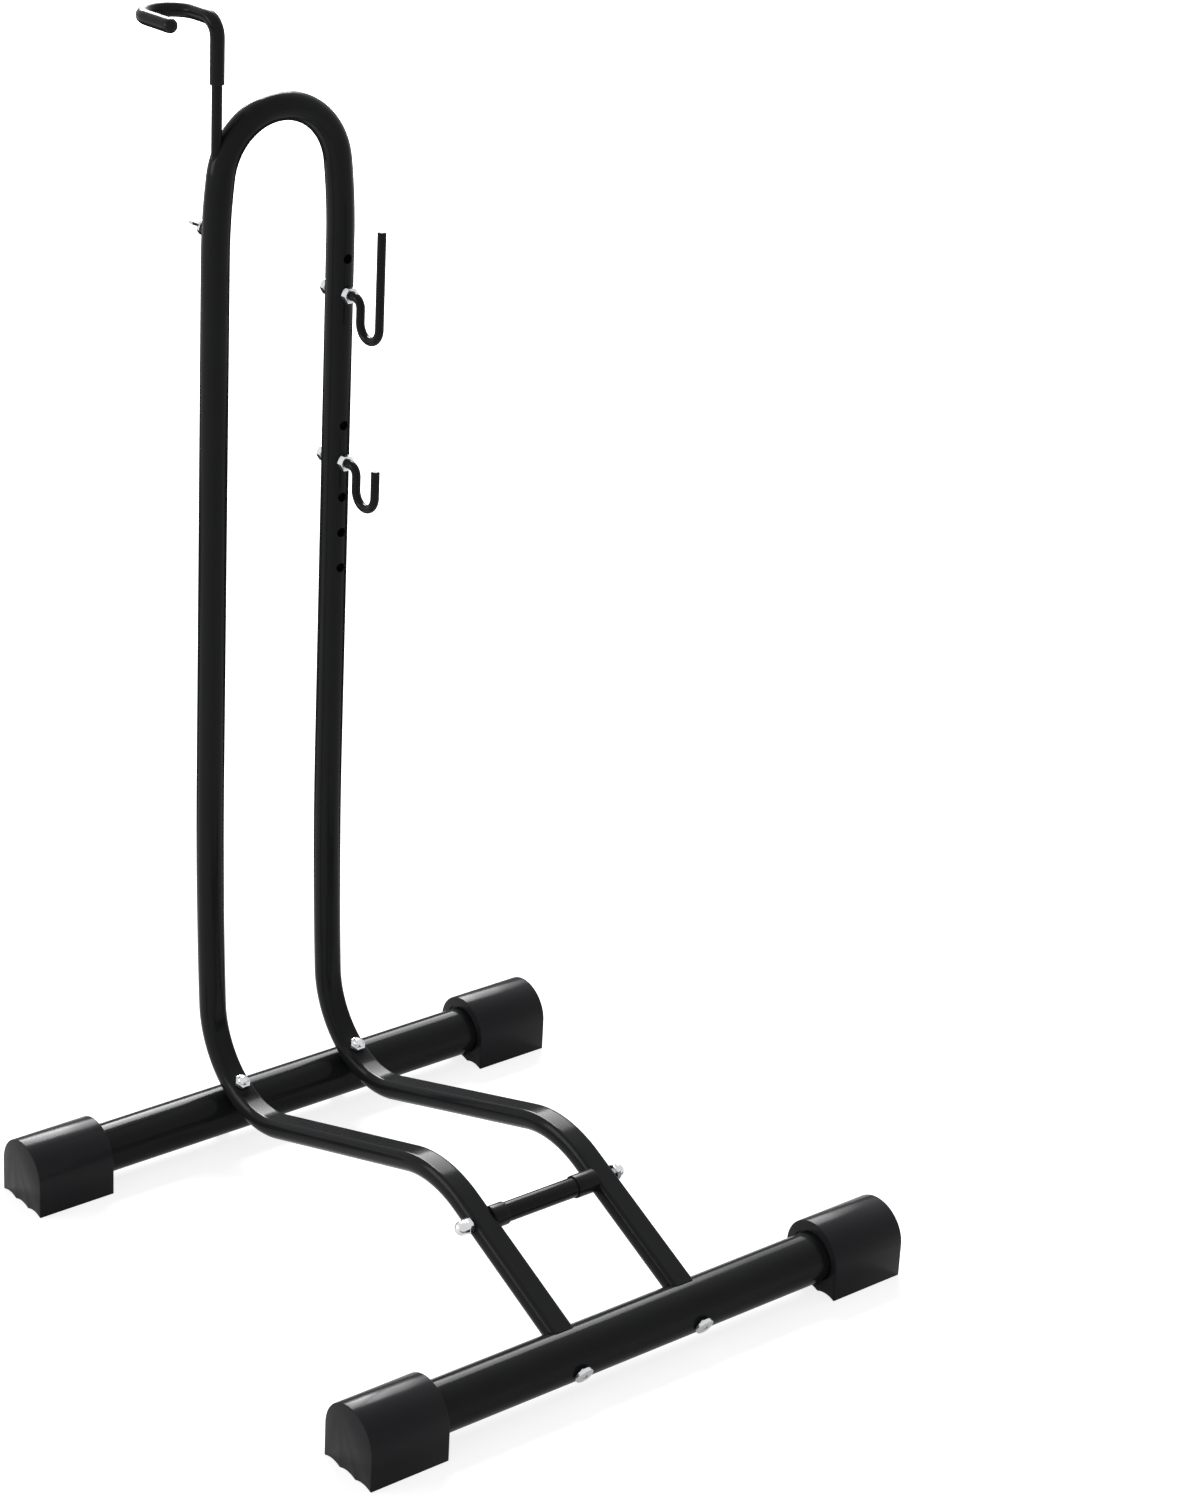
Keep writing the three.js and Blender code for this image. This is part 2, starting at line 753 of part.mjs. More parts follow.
function slidingRod() {
  return wire(armRoute(rodBottomHeight + threadChamfer, threadChamfer + gap), rodRadius, threadChamfer);
}

function rodCover() {
  const route = armRoute(coverBottomHeight + coverRounding, 0);
  const first = route.stops[0];
  const last = route.end;
  const mouth = { ...first, centre: first.centre.clone().addScaledVector(first.along, -coverRounding) };
  const cap = domeProfile(coverRadius, 0, coverRadius).slice(1, -1);
  const rings = cap.map(([radius, rise]) => ({
    ...last,
    centre: last.centre.clone().addScaledVector(last.along, rise),
    radius,
  }));
  const stops = [{ ...mouth, radius: coverRadius - coverRounding }, ...route.stops, ...rings];
  const body = sweep(stops, ({ radius = coverRadius }) => roundOutline(radius, roundSides));
  const bore = armRoute(coverBottomHeight - overrun, 0);
  return geometryOf(
    solidOf(body).subtract(solidOf(sweep(bore.stops, () => roundOutline(rodRadius + gap, wireSides)))),
  );
}

// Clamp

const bossFaceY = legY + tubeRadius + bossRise;

function clampBoss() {
  const x = leftLegX(clampHeight);
  const root = new THREE.Vector3(x, legY, clampHeight);
  const face = new THREE.Vector3(x, bossFaceY, clampHeight);
  const below = new THREE.Vector3(x, legY, clampHeight - tubeRadius);
  const above = new THREE.Vector3(x, legY, clampHeight + tubeRadius);
  const boss = roundCut(bossRadius, root, face, roundSides);
  const leg = roundCut(tubeRadius + gap, below, above, barSides);
  return geometryOf(boss.subtract(leg).subtract(clampCut()));
}

// The wing screw about its hub's foot, with its axis on +Y
function wingScrew() {
  const shankLength = bossFaceY + gap - (legY + rodRadius + gap);
  const hub = revolved(
    [
      [0, -shankLength],
      [boltRadius - threadChamfer, -shankLength],
      [boltRadius, threadChamfer - shankLength],
      [boltRadius, 0],
      [hubRadius - threadChamfer, 0],
      [hubRadius, threadChamfer],
      [hubRadius, hubLength - threadChamfer],
      [hubRadius - threadChamfer, hubLength],
      [0, hubLength],
    ],
    roundSides,
  );
  const outline = new THREE.Shape();
  outline.moveTo(0, wingRootLow);
  outline.absarc(wingTipReach, wingTipRise, wingTipRadius, wingLowAngle, wingHighAngle, false);
  outline.lineTo(0, wingRootHigh);
  const otherLow = Math.PI - wingLowAngle;
  outline.absarc(-wingTipReach, wingTipRise, wingTipRadius, Math.PI - wingHighAngle, otherLow, false);
  outline.lineTo(0, wingRootLow);
  const wings = new THREE.ExtrudeGeometry(outline, {
    depth: wingThickness,
    bevelEnabled: false,
    curveSegments: wingArcSegments,
  });
  wings.translate(0, 0, -wingThickness / 2);
  return geometryOf(solidOf(hub).add(solidOf(wings)));
}

// The assembly

const stand = new THREE.Group();

function addPiece(name, geometry, material, place = new THREE.Vector3(), axis = yAxis) {
  const mesh = new THREE.Mesh(geometry, material);
  mesh.name = name;
  mesh.position.copy(place);
  mesh.quaternion.copy(turnTo(axis));
  stand.add(mesh);
  return mesh;
}

const sides = { left: -1, right: 1 };
const bars = { front: frontBar, rear: rearBar };
const footX = standWidth / 2 - footLength;

addPiece("frame_tube", frameTube(), powderCoat());
addPiece("front_crossbar", crossbar(frontBar, [frontScrewCut(-1), frontScrewCut(1)]), powderCoat());
addPiece("rear_crossbar", crossbar(rearBar, [rearBoltCut(-1), rearBoltCut(1)]), powderCoat());

for (const [end, bar] of Object.entries(bars)) {
  for (const [sideName, side] of Object.entries(sides)) {
    const mesh = addPiece(`foot_${end}_${sideName}`, foot(), rubber());
    mesh.position.set(side * footX, bar.y, 0);
    mesh.rotation.set(0, 0, side > 0 ? 0 : Math.PI);
  }
}

for (const [sideName, side] of Object.entries(sides)) {
  const headSeat = frontScrewAxis(side).addScaledVector(frontAlong, -barRadius - gap);
  addPiece(`front_screw_${sideName}`, frontScrew(), zinc(), headSeat, frontAlong.clone().negate());
  addPiece(`leg_plug_${sideName}`, legPlug(side), zinc());
  const rearAxis = rearBoltFoot.clone().setX(side * legX);
  const boltSeat = rearAxis.clone().addScaledVector(rearBoltUp, -barRadius - gap);
  const nutSeat = rearAxis.clone().addScaledVector(rearBoltUp, rearNutSeat);
  addPiece(`rear_bolt_${sideName}`, rearBolt(), zinc(), boltSeat, rearBoltUp.clone().negate());
  addPiece(`rear_cap_nut_${sideName}`, rearCapNut(), zinc(), nutSeat, rearBoltUp);
  const spacerNutX = side * (legX + pressedHalfWidth + gap);
  const spacerNut = spacerCentre.clone().setX(spacerNutX);
  const outwards = xAxis.clone().multiplyScalar(side);
  addPiece(`spacer_cap_nut_${sideName}`, spacerCapNut(side), zinc(), spacerNut, outwards);
  addPiece(`spacer_sleeve_${sideName}`, spacerSleeve(side), vinyl());
}

addPiece("spacer_tube", spacerTube(), powderCoat());
addPiece("spacer_stud", spacerStud(), zinc(), spacerCentre, xAxis);

const hooks = {
  long_hook: [longHookHeight, longHookProng],
  short_hook: [shortHookHeight, shortHookProng],
};
for (const [name, [height, prong]] of Object.entries(hooks)) {
  addPiece(name, hook(height, prong), powderCoat());
  const frontFace = new THREE.Vector3(legX, legY - tubeRadius - gap, height);
  const rearFace = new THREE.Vector3(legX, legY + tubeRadius + gap, height);
  addPiece(`${name}_front_nut`, hexNut(), zinc(), frontFace, yAxis.clone().negate());
  addPiece(`${name}_rear_nut`, hexNut(), zinc(), rearFace, yAxis);
}

addPiece("sliding_rod", slidingRod(), powderCoat());
addPiece("rod_cover", rodCover(), vinyl());
addPiece("clamp_boss", clampBoss(), powderCoat());
const hubFoot = new THREE.Vector3(leftLegX(clampHeight), bossFaceY + gap, clampHeight);
const screw = addPiece("wing_screw", wingScrew(), zinc(), hubFoot);
screw.rotateY(wingTurn);

// The origin stands on the floor under the middle of the whole stand
const frontmost = frontBar.y - footWidth / 2;
const rearmost = legY + armReach + armTurnRadius + coverRadius;
stand.position.y = -(frontmost + rearmost) / 2;

const part = new THREE.Group();
part.add(stand);

export default part;
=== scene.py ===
"""Looks of the vertical bike stand: a bent tube frame on two crossbars, black powder coat and bright zinc."""
import json
import math

import bmesh
import bpy
from mathutils import Matrix, Quaternion, Vector


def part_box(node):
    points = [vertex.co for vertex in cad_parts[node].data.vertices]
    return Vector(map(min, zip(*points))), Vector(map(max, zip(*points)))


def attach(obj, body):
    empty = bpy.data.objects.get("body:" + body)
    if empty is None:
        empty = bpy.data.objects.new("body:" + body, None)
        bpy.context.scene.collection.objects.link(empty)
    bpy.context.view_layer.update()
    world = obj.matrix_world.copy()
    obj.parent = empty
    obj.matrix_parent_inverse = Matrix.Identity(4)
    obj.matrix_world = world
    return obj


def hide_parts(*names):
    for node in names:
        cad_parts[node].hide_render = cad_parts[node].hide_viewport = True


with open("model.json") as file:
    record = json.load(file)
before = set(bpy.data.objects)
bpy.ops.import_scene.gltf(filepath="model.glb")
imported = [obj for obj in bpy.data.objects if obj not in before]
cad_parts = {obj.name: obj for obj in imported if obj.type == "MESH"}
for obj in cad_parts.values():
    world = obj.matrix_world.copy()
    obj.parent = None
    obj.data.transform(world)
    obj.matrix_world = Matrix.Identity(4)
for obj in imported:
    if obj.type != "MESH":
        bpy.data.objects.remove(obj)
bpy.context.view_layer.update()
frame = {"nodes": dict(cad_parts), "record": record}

# Sizes in millimetres, about the point midway between the crossbars. Ends that fit closely have FIT, not GAP
GAP = 0.3
FIT = 0.05
BAR_SPACING = 376.7
BAR_HEIGHT = 21.84
BAR_RADIUS = 17
STAND_WIDTH = 434.7
FOOT_LENGTH = 58.7
FOOT_WIDTH = 48
FOOT_ARCH_HEIGHT = 23.1
FOOT_END_WALL = 4
FOOT_EDGE = 0.6
FOOT_MOUTH_STEP = 1.6
FOOT_MOUTH_DEPTH = 1.2
RIDGE_WIDTH = 0.9
RIDGE_COUNT = 4
SCALLOP_DEPTH = 1.6
SCALLOP_STEPS = 12
FOOT_ARCH_STEPS = 48

LEG_X = 49.54
TUBE_RADIUS = 9.5
TUBE_WALL = 1.5
FRONT_OFFSET = 7.9
FRONT_SLOPE = math.radians(25.36)
HUMP_RADIUS = 80.9
RUN_SLOPE = math.radians(17.54)
HEEL_RADIUS = 65.3
SADDLE_ANGLE = math.radians(59.5)
SADDLE_DENT = 0.5
LEAN_RADIUS = 2712
LEAN_ANGLE = math.radians(3.59)
HOOP_HEIGHT = 735.2
HOOP_SIDE_RADIUS = 414
HOOP_SIDE_ANGLE = math.radians(7.41)
PRESSED_HALF_WIDTH = 9.55
PRESSED_TOP = 6.85
PRESSED_BOTTOM = 8.7
PRESS_START_HEIGHT = 120
PRESS_FULL_HEIGHT = 45
PRESSED_ROUNDING = 0.9
HUMP_STEPS = 20
HEEL_STEPS = 40
LEAN_STEPS = 24
HOOP_SIDE_STEPS = 8
HOOP_TOP_STEPS = 48

BOLT_RADIUS = 3
NUT_ACROSS_FLATS = 10
NUT_CORNER = NUT_ACROSS_FLATS / 2 / math.cos(math.pi / 6)
NUT_HEIGHT = 5
NUT_FACE_INSET = 0.2
NUT_BLANK_MARGIN = 0.1
NUT_CONE_DEPTH = 1.6
BOLT_HEAD_RADIUS = 6
BOLT_HEAD_HEIGHT = 3.4
REAR_CAP_HEX_HEIGHT = 3.4
REAR_CAP_DOME_RADIUS = 3.9
REAR_CAP_HEIGHT = 6.3
REAR_THREAD_REACH = 2.8
REAR_BOLT_TURN = math.radians(1.5)
SPACER_CAP_HEX_HEIGHT = 3.2
SPACER_CAP_DOME_RADIUS = 4.8
LEFT_SPACER_CAP_HEIGHT = 11.2
RIGHT_SPACER_CAP_HEIGHT = 8.5
SCREW_RADIUS = 2.5
SCREW_DROP = 3.5
SCREW_HEAD_RADIUS = 6.4
SCREW_HEAD_HEIGHT = 3.2
SCREW_LENGTH = 50.3
SCREW_RIM = 2
BOLT_RIM = 1
HEAD_EDGE = 0.25
THREAD_CHAMFER = 0.5
DOME_SINK = 0.4
CROWN_STEP = 6

# Cross recesses: length, width and depth, and the shares of the first two that the floor has
SCREW_RECESS = (6.6, 1.2, 1.8)
BOLT_RECESS = (6, 1.2, 1.8)
RECESS_FLOOR = (0.45, 0.7)

SPACER_ALONG = 17.3
SPACER_RISE = 1.9
SPACER_RADIUS = 6.65
SPACER_WALL = 1.2
SPACER_LAP = 2.5
SPACER_EDGE = 0.3
SLEEVE_RADIUS = 7.65
SLEEVE_EDGE = 0.35
LEFT_SLEEVE_LENGTH = 8.6
RIGHT_SLEEVE_LENGTH = 14.3

HOOK_RADIUS = 3
HOOK_STRAIGHT = 3.3
HOOK_BEND_RADIUS = 6.4
HOOK_DROP = 15.2
HOOK_THROAT_RADIUS = 10.55
HOOK_TAIL = 2.2
HOOK_TIP_CHAMFER = 0.8
THREAD_PITCH = 1
THREAD_DEPTH = 0.45
THREAD_CRESTS = 3
LOWER_HOLE_PITCH = 25.4
LOWER_RACK_HEIGHT = 402.7
UPPER_HOLE_PITCH = 23.9
UPPER_RACK_HEIGHT = 595.6
SHORT_HOOK_HEIGHT = LOWER_RACK_HEIGHT + 3 * LOWER_HOLE_PITCH
SHORT_HOOK_PRONG = 18.7
LONG_HOOK_HEIGHT = UPPER_RACK_HEIGHT
LONG_HOOK_PRONG = 65.8

ROD_RADIUS = 3.5
ROD_EDGE = 0.5
ROD_BOTTOM_HEIGHT = 500
ARM_HEIGHT = 786.6
ARM_BEND_RADIUS = 12
ARM_REACH = 24.7
ARM_TURN_RADIUS = 18.05
ARM_RETURN = 25.4
COVER_RADIUS = 4.85
COVER_BOTTOM_HEIGHT = 745.2
COVER_ROUNDING = 0.8
COVER_TIP_STEP = 10
COVER_TIP_SHARE = 0.999
COVER_TIP_RADIUS = 0.15

CLAMP_HEIGHT = 649.4
BOSS_RADIUS = 5.9
BOSS_RISE = 1.9
BOSS_EDGE = 0.5
BOSS_SADDLE_REACH = 20
BOSS_BORE_REACH = 30
HUB_RADIUS = 5.2
HUB_LENGTH = 3.8
HUB_FOOT_EDGE = 0.5
HUB_TOP_EDGE = 0.9
WING_THICKNESS = 2
WING_TIP_RADIUS = 3.3
WING_TIP_REACH = 8.6
WING_TIP_RISE = 5.5
WING_ROOT_LOW = 1
WING_ROOT_HIGH = 5
WING_TIP_FROM = math.radians(-75)
WING_TIP_TO = math.radians(115)
WING_TIP_STEPS = 20
WING_EDGE = 0.5
WING_TURN = math.radians(24)

# Sides of a full turn
TUBE_SIDES = 56
BORE_SIDES = 28
BAR_SIDES = 72
WIRE_SIDES = 28
COVER_SIDES = 36
BLANK_SIDES = 96
LATHE_SIDES = 64
SPACER_SIDES = 56
BOSS_SIDES = 48
HUB_SIDES = 56

# Angles in degrees above which an edge stays sharp
FINE_CREASE = 20
NUT_CREASE = 30
TUBE_CREASE = 35

# How far cuts run past what they cut
OVERRUN = 2
BORE_STRETCH = 1.01

X_AXIS = Vector((1, 0, 0))
Y_AXIS = Vector((0, 1, 0))
Z_AXIS = Vector((0, 0, 1))
BOTH_SIDES = (-1, 1)

METRES = 0.001
crossbar_low, crossbar_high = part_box("front_crossbar")
row_shift = (crossbar_low.y + crossbar_high.y) / 2 / METRES + BAR_SPACING / 2


def slope(angle):
    """A direction in the stand's side view, by its slope above the way back."""
    return Vector((0, math.cos(angle), math.sin(angle)))


# Places that the pieces share
front_bar = Vector((0, -BAR_SPACING / 2, BAR_HEIGHT))
rear_bar = Vector((0, BAR_SPACING / 2, BAR_HEIGHT))
front_along = slope(FRONT_SLOPE)
front_up = slope(FRONT_SLOPE + math.pi / 2)
front_start = front_bar + front_up * FRONT_OFFSET
saddle_up = slope(math.pi - SADDLE_ANGLE)
saddle_distance = BAR_RADIUS + GAP + PRESSED_BOTTOM - SADDLE_DENT
heel_distance = saddle_distance + HEEL_RADIUS
heel_centre = rear_bar + saddle_up * heel_distance
rear_bolt_up = slope(math.pi - SADDLE_ANGLE - REAR_BOLT_TURN)
rear_bolt_foot = heel_centre - rear_bolt_up * (heel_distance * math.cos(REAR_BOLT_TURN))
hoop_top_radius = (LEG_X - HOOP_SIDE_RADIUS * (1 - math.cos(HOOP_SIDE_ANGLE))) / math.cos(HOOP_SIDE_ANGLE)
hoop_start_height = (
    HOOP_HEIGHT - TUBE_RADIUS - hoop_top_radius + (hoop_top_radius - HOOP_SIDE_RADIUS) * math.sin(HOOP_SIDE_ANGLE)
)
leg_y = heel_centre.y + HEEL_RADIUS * math.cos(LEAN_ANGLE) + LEAN_RADIUS * (1 - math.cos(LEAN_ANGLE))
lean_end_height = heel_centre.z + (LEAN_RADIUS - HEEL_RADIUS) * math.sin(LEAN_ANGLE)


# Camera: the photograph's own, solved from the corners of the feet and the legs

# Azimuth, elevation and roll in degrees
CAMERA_TURN = (-36.740, 22.479, 1.543)
CAMERA_PLACE = (-1294.03, -1623.53, 1259.45)


def linked(name, data):
    """A new object in the scene for its data."""
    made = bpy.data.objects.new(name, data)
    bpy.context.scene.collection.objects.link(made)
    return made


def add_camera():
    """The camera, at the photograph's place, turn and framing."""
    data = bpy.data.cameras.new("photo_camera")
    data.sensor_width = 36
    data.lens = 85.42
    data.shift_x = 0.15301
    data.shift_y = -0.04738
    data.clip_end = 50
    camera = linked("photo_camera", data)
    azimuth, elevation, roll = (math.radians(angle) for angle in CAMERA_TURN)
    forward = Vector(
        (-math.sin(azimuth) * math.cos(elevation), math.cos(azimuth) * math.cos(elevation), -math.sin(elevation))
    )
    right = Vector((math.cos(azimuth), math.sin(azimuth), 0))
    up = right.cross(forward)
    turned_right = right * math.cos(roll) + up * math.sin(roll)
    turned_up = up * math.cos(roll) - right * math.sin(roll)
    turn = Matrix((turned_right, turned_up, -forward)).transposed().to_4x4()
    x, y, z = CAMERA_PLACE
    camera.matrix_world = Matrix.Translation(Vector((x, y + row_shift, z)) * METRES) @ turn
    bpy.context.scene.camera = camera


add_camera()


# Node helper and colours

def add(tree, kind, inputs=None, **settings):
    """Adds a node, sets its settings and fills or links its inputs."""
    made = tree.nodes.new(kind)
    for name, value in settings.items():
        setattr(made, name, value)
    for socket, value in (inputs or {}).items():
        if isinstance(value, bpy.types.NodeSocket):
            tree.links.new(value, made.inputs[socket])
        else:
            made.inputs[socket].default_value = value
    return made


def colour(code):
    """An sRGB hex colour as the linear one that the nodes take."""
    channels = [int(code[i : i + 2], 16) / 255 for i in (1, 3, 5)]
    linear = [c / 12.92 if c <= 0.04045 else ((c + 0.055) / 1.055) ** 2.4 for c in channels]
    return (*linear, 1)


def new_material(name):
    """An empty material and its tree, with the output node and object coordinates ready."""
    material = bpy.data.materials.new(name)
    material.use_nodes = True
    tree = material.node_tree
    tree.nodes.clear()
    place = add(tree, "ShaderNodeTexCoord").outputs["Object"]
    output = add(tree, "ShaderNodeOutputMaterial")
    return material, tree, place, output


def noise(tree, place, size, detail):
    """A noise whose grains are this many millimetres across, in metre coordinates."""
    inputs = {"Vector": place, "Scale": 1 / (size * METRES), "Detail": detail}
    return add(tree, "ShaderNodeTexNoise", inputs).outputs["Fac"]


# Materials

def satin(tree, pattern, low, high):
    """A roughness between two values by a pattern, and more of it where the surface turns away from the eye."""
    plain = add(tree, "ShaderNodeMapRange", {"Value": pattern, "To Min": low, "To Max": high})
    facing = add(tree, "ShaderNodeLayerWeight", {"Blend": 0.5}).outputs["Facing"]
    rise = {"Value": facing, "From Min": 0.65, "From Max": 0.95, "To Min": 0.0, "To Max": 0.12}
    glancing = add(tree, "ShaderNodeMapRange", rise)
    return add(tree, "ShaderNodeMath", {0: plain.outputs[0], 1: glancing.outputs[0]}, operation="ADD").outputs[0]


def mottled(tree, pattern, dark, light):
    """A colour between two, by a pattern."""
    return add(tree, "ShaderNodeMix", {0: pattern, 6: colour(dark), 7: colour(light)}, data_type="RGBA").outputs[2]


def grained(tree, pattern, strength, distance):
    """A surface direction that a pattern ruffles, as if it rose by a distance in metres."""
    inputs = {"Strength": strength, "Distance": distance, "Height": pattern}
    return add(tree, "ShaderNodeBump", inputs).outputs["Normal"]


def surface(tree, output, inputs):
    """Ends a material in one surface with these inputs."""
    shader = add(tree, "ShaderNodeBsdfPrincipled", inputs)
    tree.links.new(shader.outputs[0], output.inputs[0])


def powder_coat():
    """Polyester powder, baked on steel: the glossiest of the blacks, its reflections ruffled by faint orange peel."""
    material, tree, place, output = new_material("powder_coated_steel")
    clouds = noise(tree, place, 45, 2)
    film = noise(tree, place, 9, 3)
    # Real orange peel has waves of about 1 mm: drawn at 2.5 mm so that it shows
    peel = noise(tree, place, 2.5, 1)
    inputs = {
        "Base Color": mottled(tree, clouds, "#202021", "#242526"),
        "Roughness": satin(tree, film, 0.13, 0.16),
        "Normal": grained(tree, peel, 0.03, 0.0002),
        "IOR": 1.5,
        "Specular IOR Level": 0.06,
    }
    surface(tree, output, inputs)
    return material


def moulded_rubber():
    """Injection moulded rubber-like PVC: a little paler and duller than the coat, with a fine spark-eroded grain."""
    material, tree, place, output = new_material("moulded_rubber")
    clouds = noise(tree, place, 18, 3)
    # Real grain is about 0.2 mm: drawn at 1.2 mm so that it shows
    grain = noise(tree, place, 1.2, 2)
    inputs = {
        "Base Color": mottled(tree, clouds, "#27272a", "#2b2b2d"),
        "Roughness": satin(tree, grain, 0.18, 0.22),
        "Normal": grained(tree, grain, 0.1, 0.0001),
        "IOR": 1.5,
        "Specular IOR Level": 0.065,
    }
    surface(tree, output, inputs)
    return material


def dipped_vinyl():
    """Soft PVC sleeve: smooth and a little glossy, with slow waves where it was drawn over the rod."""
    material, tree, place, output = new_material("soft_vinyl")
    waves = noise(tree, place, 7, 1)
    inputs = {
        "Base Color": mottled(tree, waves, "#1f1f20", "#232324"),
        "Roughness": satin(tree, waves, 0.19, 0.27),
        "Normal": grained(tree, waves, 0.1, 0.0003),
        "IOR": 1.52,
        "Specular IOR Level": 0.075,
    }
    surface(tree, output, inputs)
    return material


def zinc_plate():
    """Bright zinc plate on cold-formed steel: silvery, with the faint cloudiness of the barrel it was plated in."""
    material, tree, place, output = new_material("bright_zinc_plate")
    clouds = noise(tree, place, 3, 3)
    sheen = add(tree, "ShaderNodeMapRange", {"Value": clouds, "To Min": 0.2, "To Max": 0.26})
    # Real barrel marks are about 0.1 mm: drawn at 0.8 mm so that they show
    marks = noise(tree, place, 0.8, 2)
    inputs = {
        "Base Color": mottled(tree, clouds, "#cbcdcf", "#dadcde"),
        "Metallic": 1.0,
        "Roughness": sheen.outputs["Result"],
        "Normal": grained(tree, marks, 0.02, 0.0001),
    }
    surface(tree, output, inputs)
    return material


coat = powder_coat()
rubber = moulded_rubber()
vinyl = dipped_vinyl()
zinc = zinc_plate()
slot_of = {coat: "powder_coat", rubber: "foot_rubber", vinyl: "vinyl", zinc: "zinc"}
for made in frame["record"]["subparts"]:
    node = frame["nodes"][made["node"]]
    finish = next(material for material, slot in slot_of.items() if slot == made["material_slot"])
    node.data.materials.clear()
    node.data.materials.append(finish)


# Paths that tubes and wires follow: each stop has its centre, its direction and its upper side

class Route:
    """Straights and bends, one after the other."""

    def __init__(self, start, along, upper):
        self.stops = [(start.copy(), along.copy(), upper.copy())]

    def straight(self, length, spacing=8):
        centre, along, upper = self.stops[-1]
        count = max(1, math.ceil(length / spacing))
        for i in range(1, count + 1):
            self.stops.append((centre + along * (length * i / count), along, upper))
        return self

    def bend(self, radius, angle, axis, steps):
        centre, along, upper = self.stops[-1]
        hub = centre + (axis * math.copysign(1, angle)).cross(along) * radius
        for i in range(1, steps + 1):
            turn = Quaternion(axis, angle * i / steps)
            self.stops.append((hub + turn @ (centre - hub), turn @ along, turn @ upper))
        return self


def carry(mesh, label, kind, values):
    """Gives each point of a mesh a value of its own."""
    field = "vector" if kind == "FLOAT_VECTOR" else "value"
    mesh.attributes.new(label, kind, "POINT").data.foreach_set(field, values)


def path_mesh(stops, girth, pressed=None):
    """The path as a chain of edges that carries its upper side, its girth and how far it is pressed."""
    count = len(stops)
    mesh = bpy.data.meshes.new("path")
    mesh.from_pydata([stop[0] for stop in stops], [(i, i + 1) for i in range(count - 1)], [])
    carry(mesh, "upper", "FLOAT_VECTOR", [value for stop in stops for value in stop[2]])
    carry(mesh, "girth", "FLOAT", girth if isinstance(girth, list) else [girth] * count)
    carry(mesh, "pressed", "FLOAT", pressed or [0.0] * count)
    return mesh


# Geometry Nodes trees

def new_tree(name, sockets):
    """A geometry tree with a geometry in and out and these further inputs, as (name, type, value)."""
    tree = bpy.data.node_groups.new(name, "GeometryNodeTree")
    tree.interface.new_socket("Geometry", in_out="INPUT", socket_type="NodeSocketGeometry")
    tree.interface.new_socket("Geometry", in_out="OUTPUT", socket_type="NodeSocketGeometry")
    for label, kind, value in sockets:
        socket = tree.interface.new_socket(label, in_out="INPUT", socket_type=kind)
        if value is not None:
            socket.default_value = value
    return tree, tree.nodes.new("NodeGroupInput"), tree.nodes.new("NodeGroupOutput")


def close_tree(tree, output, geometry, material):
    """Ends a tree in Realize Instances and Set Material."""
    real = add(tree, "GeometryNodeRealizeInstances", {"Geometry": geometry})
    coated = add(tree, "GeometryNodeSetMaterial", {"Geometry": real.outputs[0], "Material": material})
    tree.links.new(coated.outputs[0], output.inputs[0])


def carried(tree, label, kind):
    """What each point carries under a label."""
    return add(tree, "GeometryNodeInputNamedAttribute", {"Name": label}, data_type=kind).outputs[0]


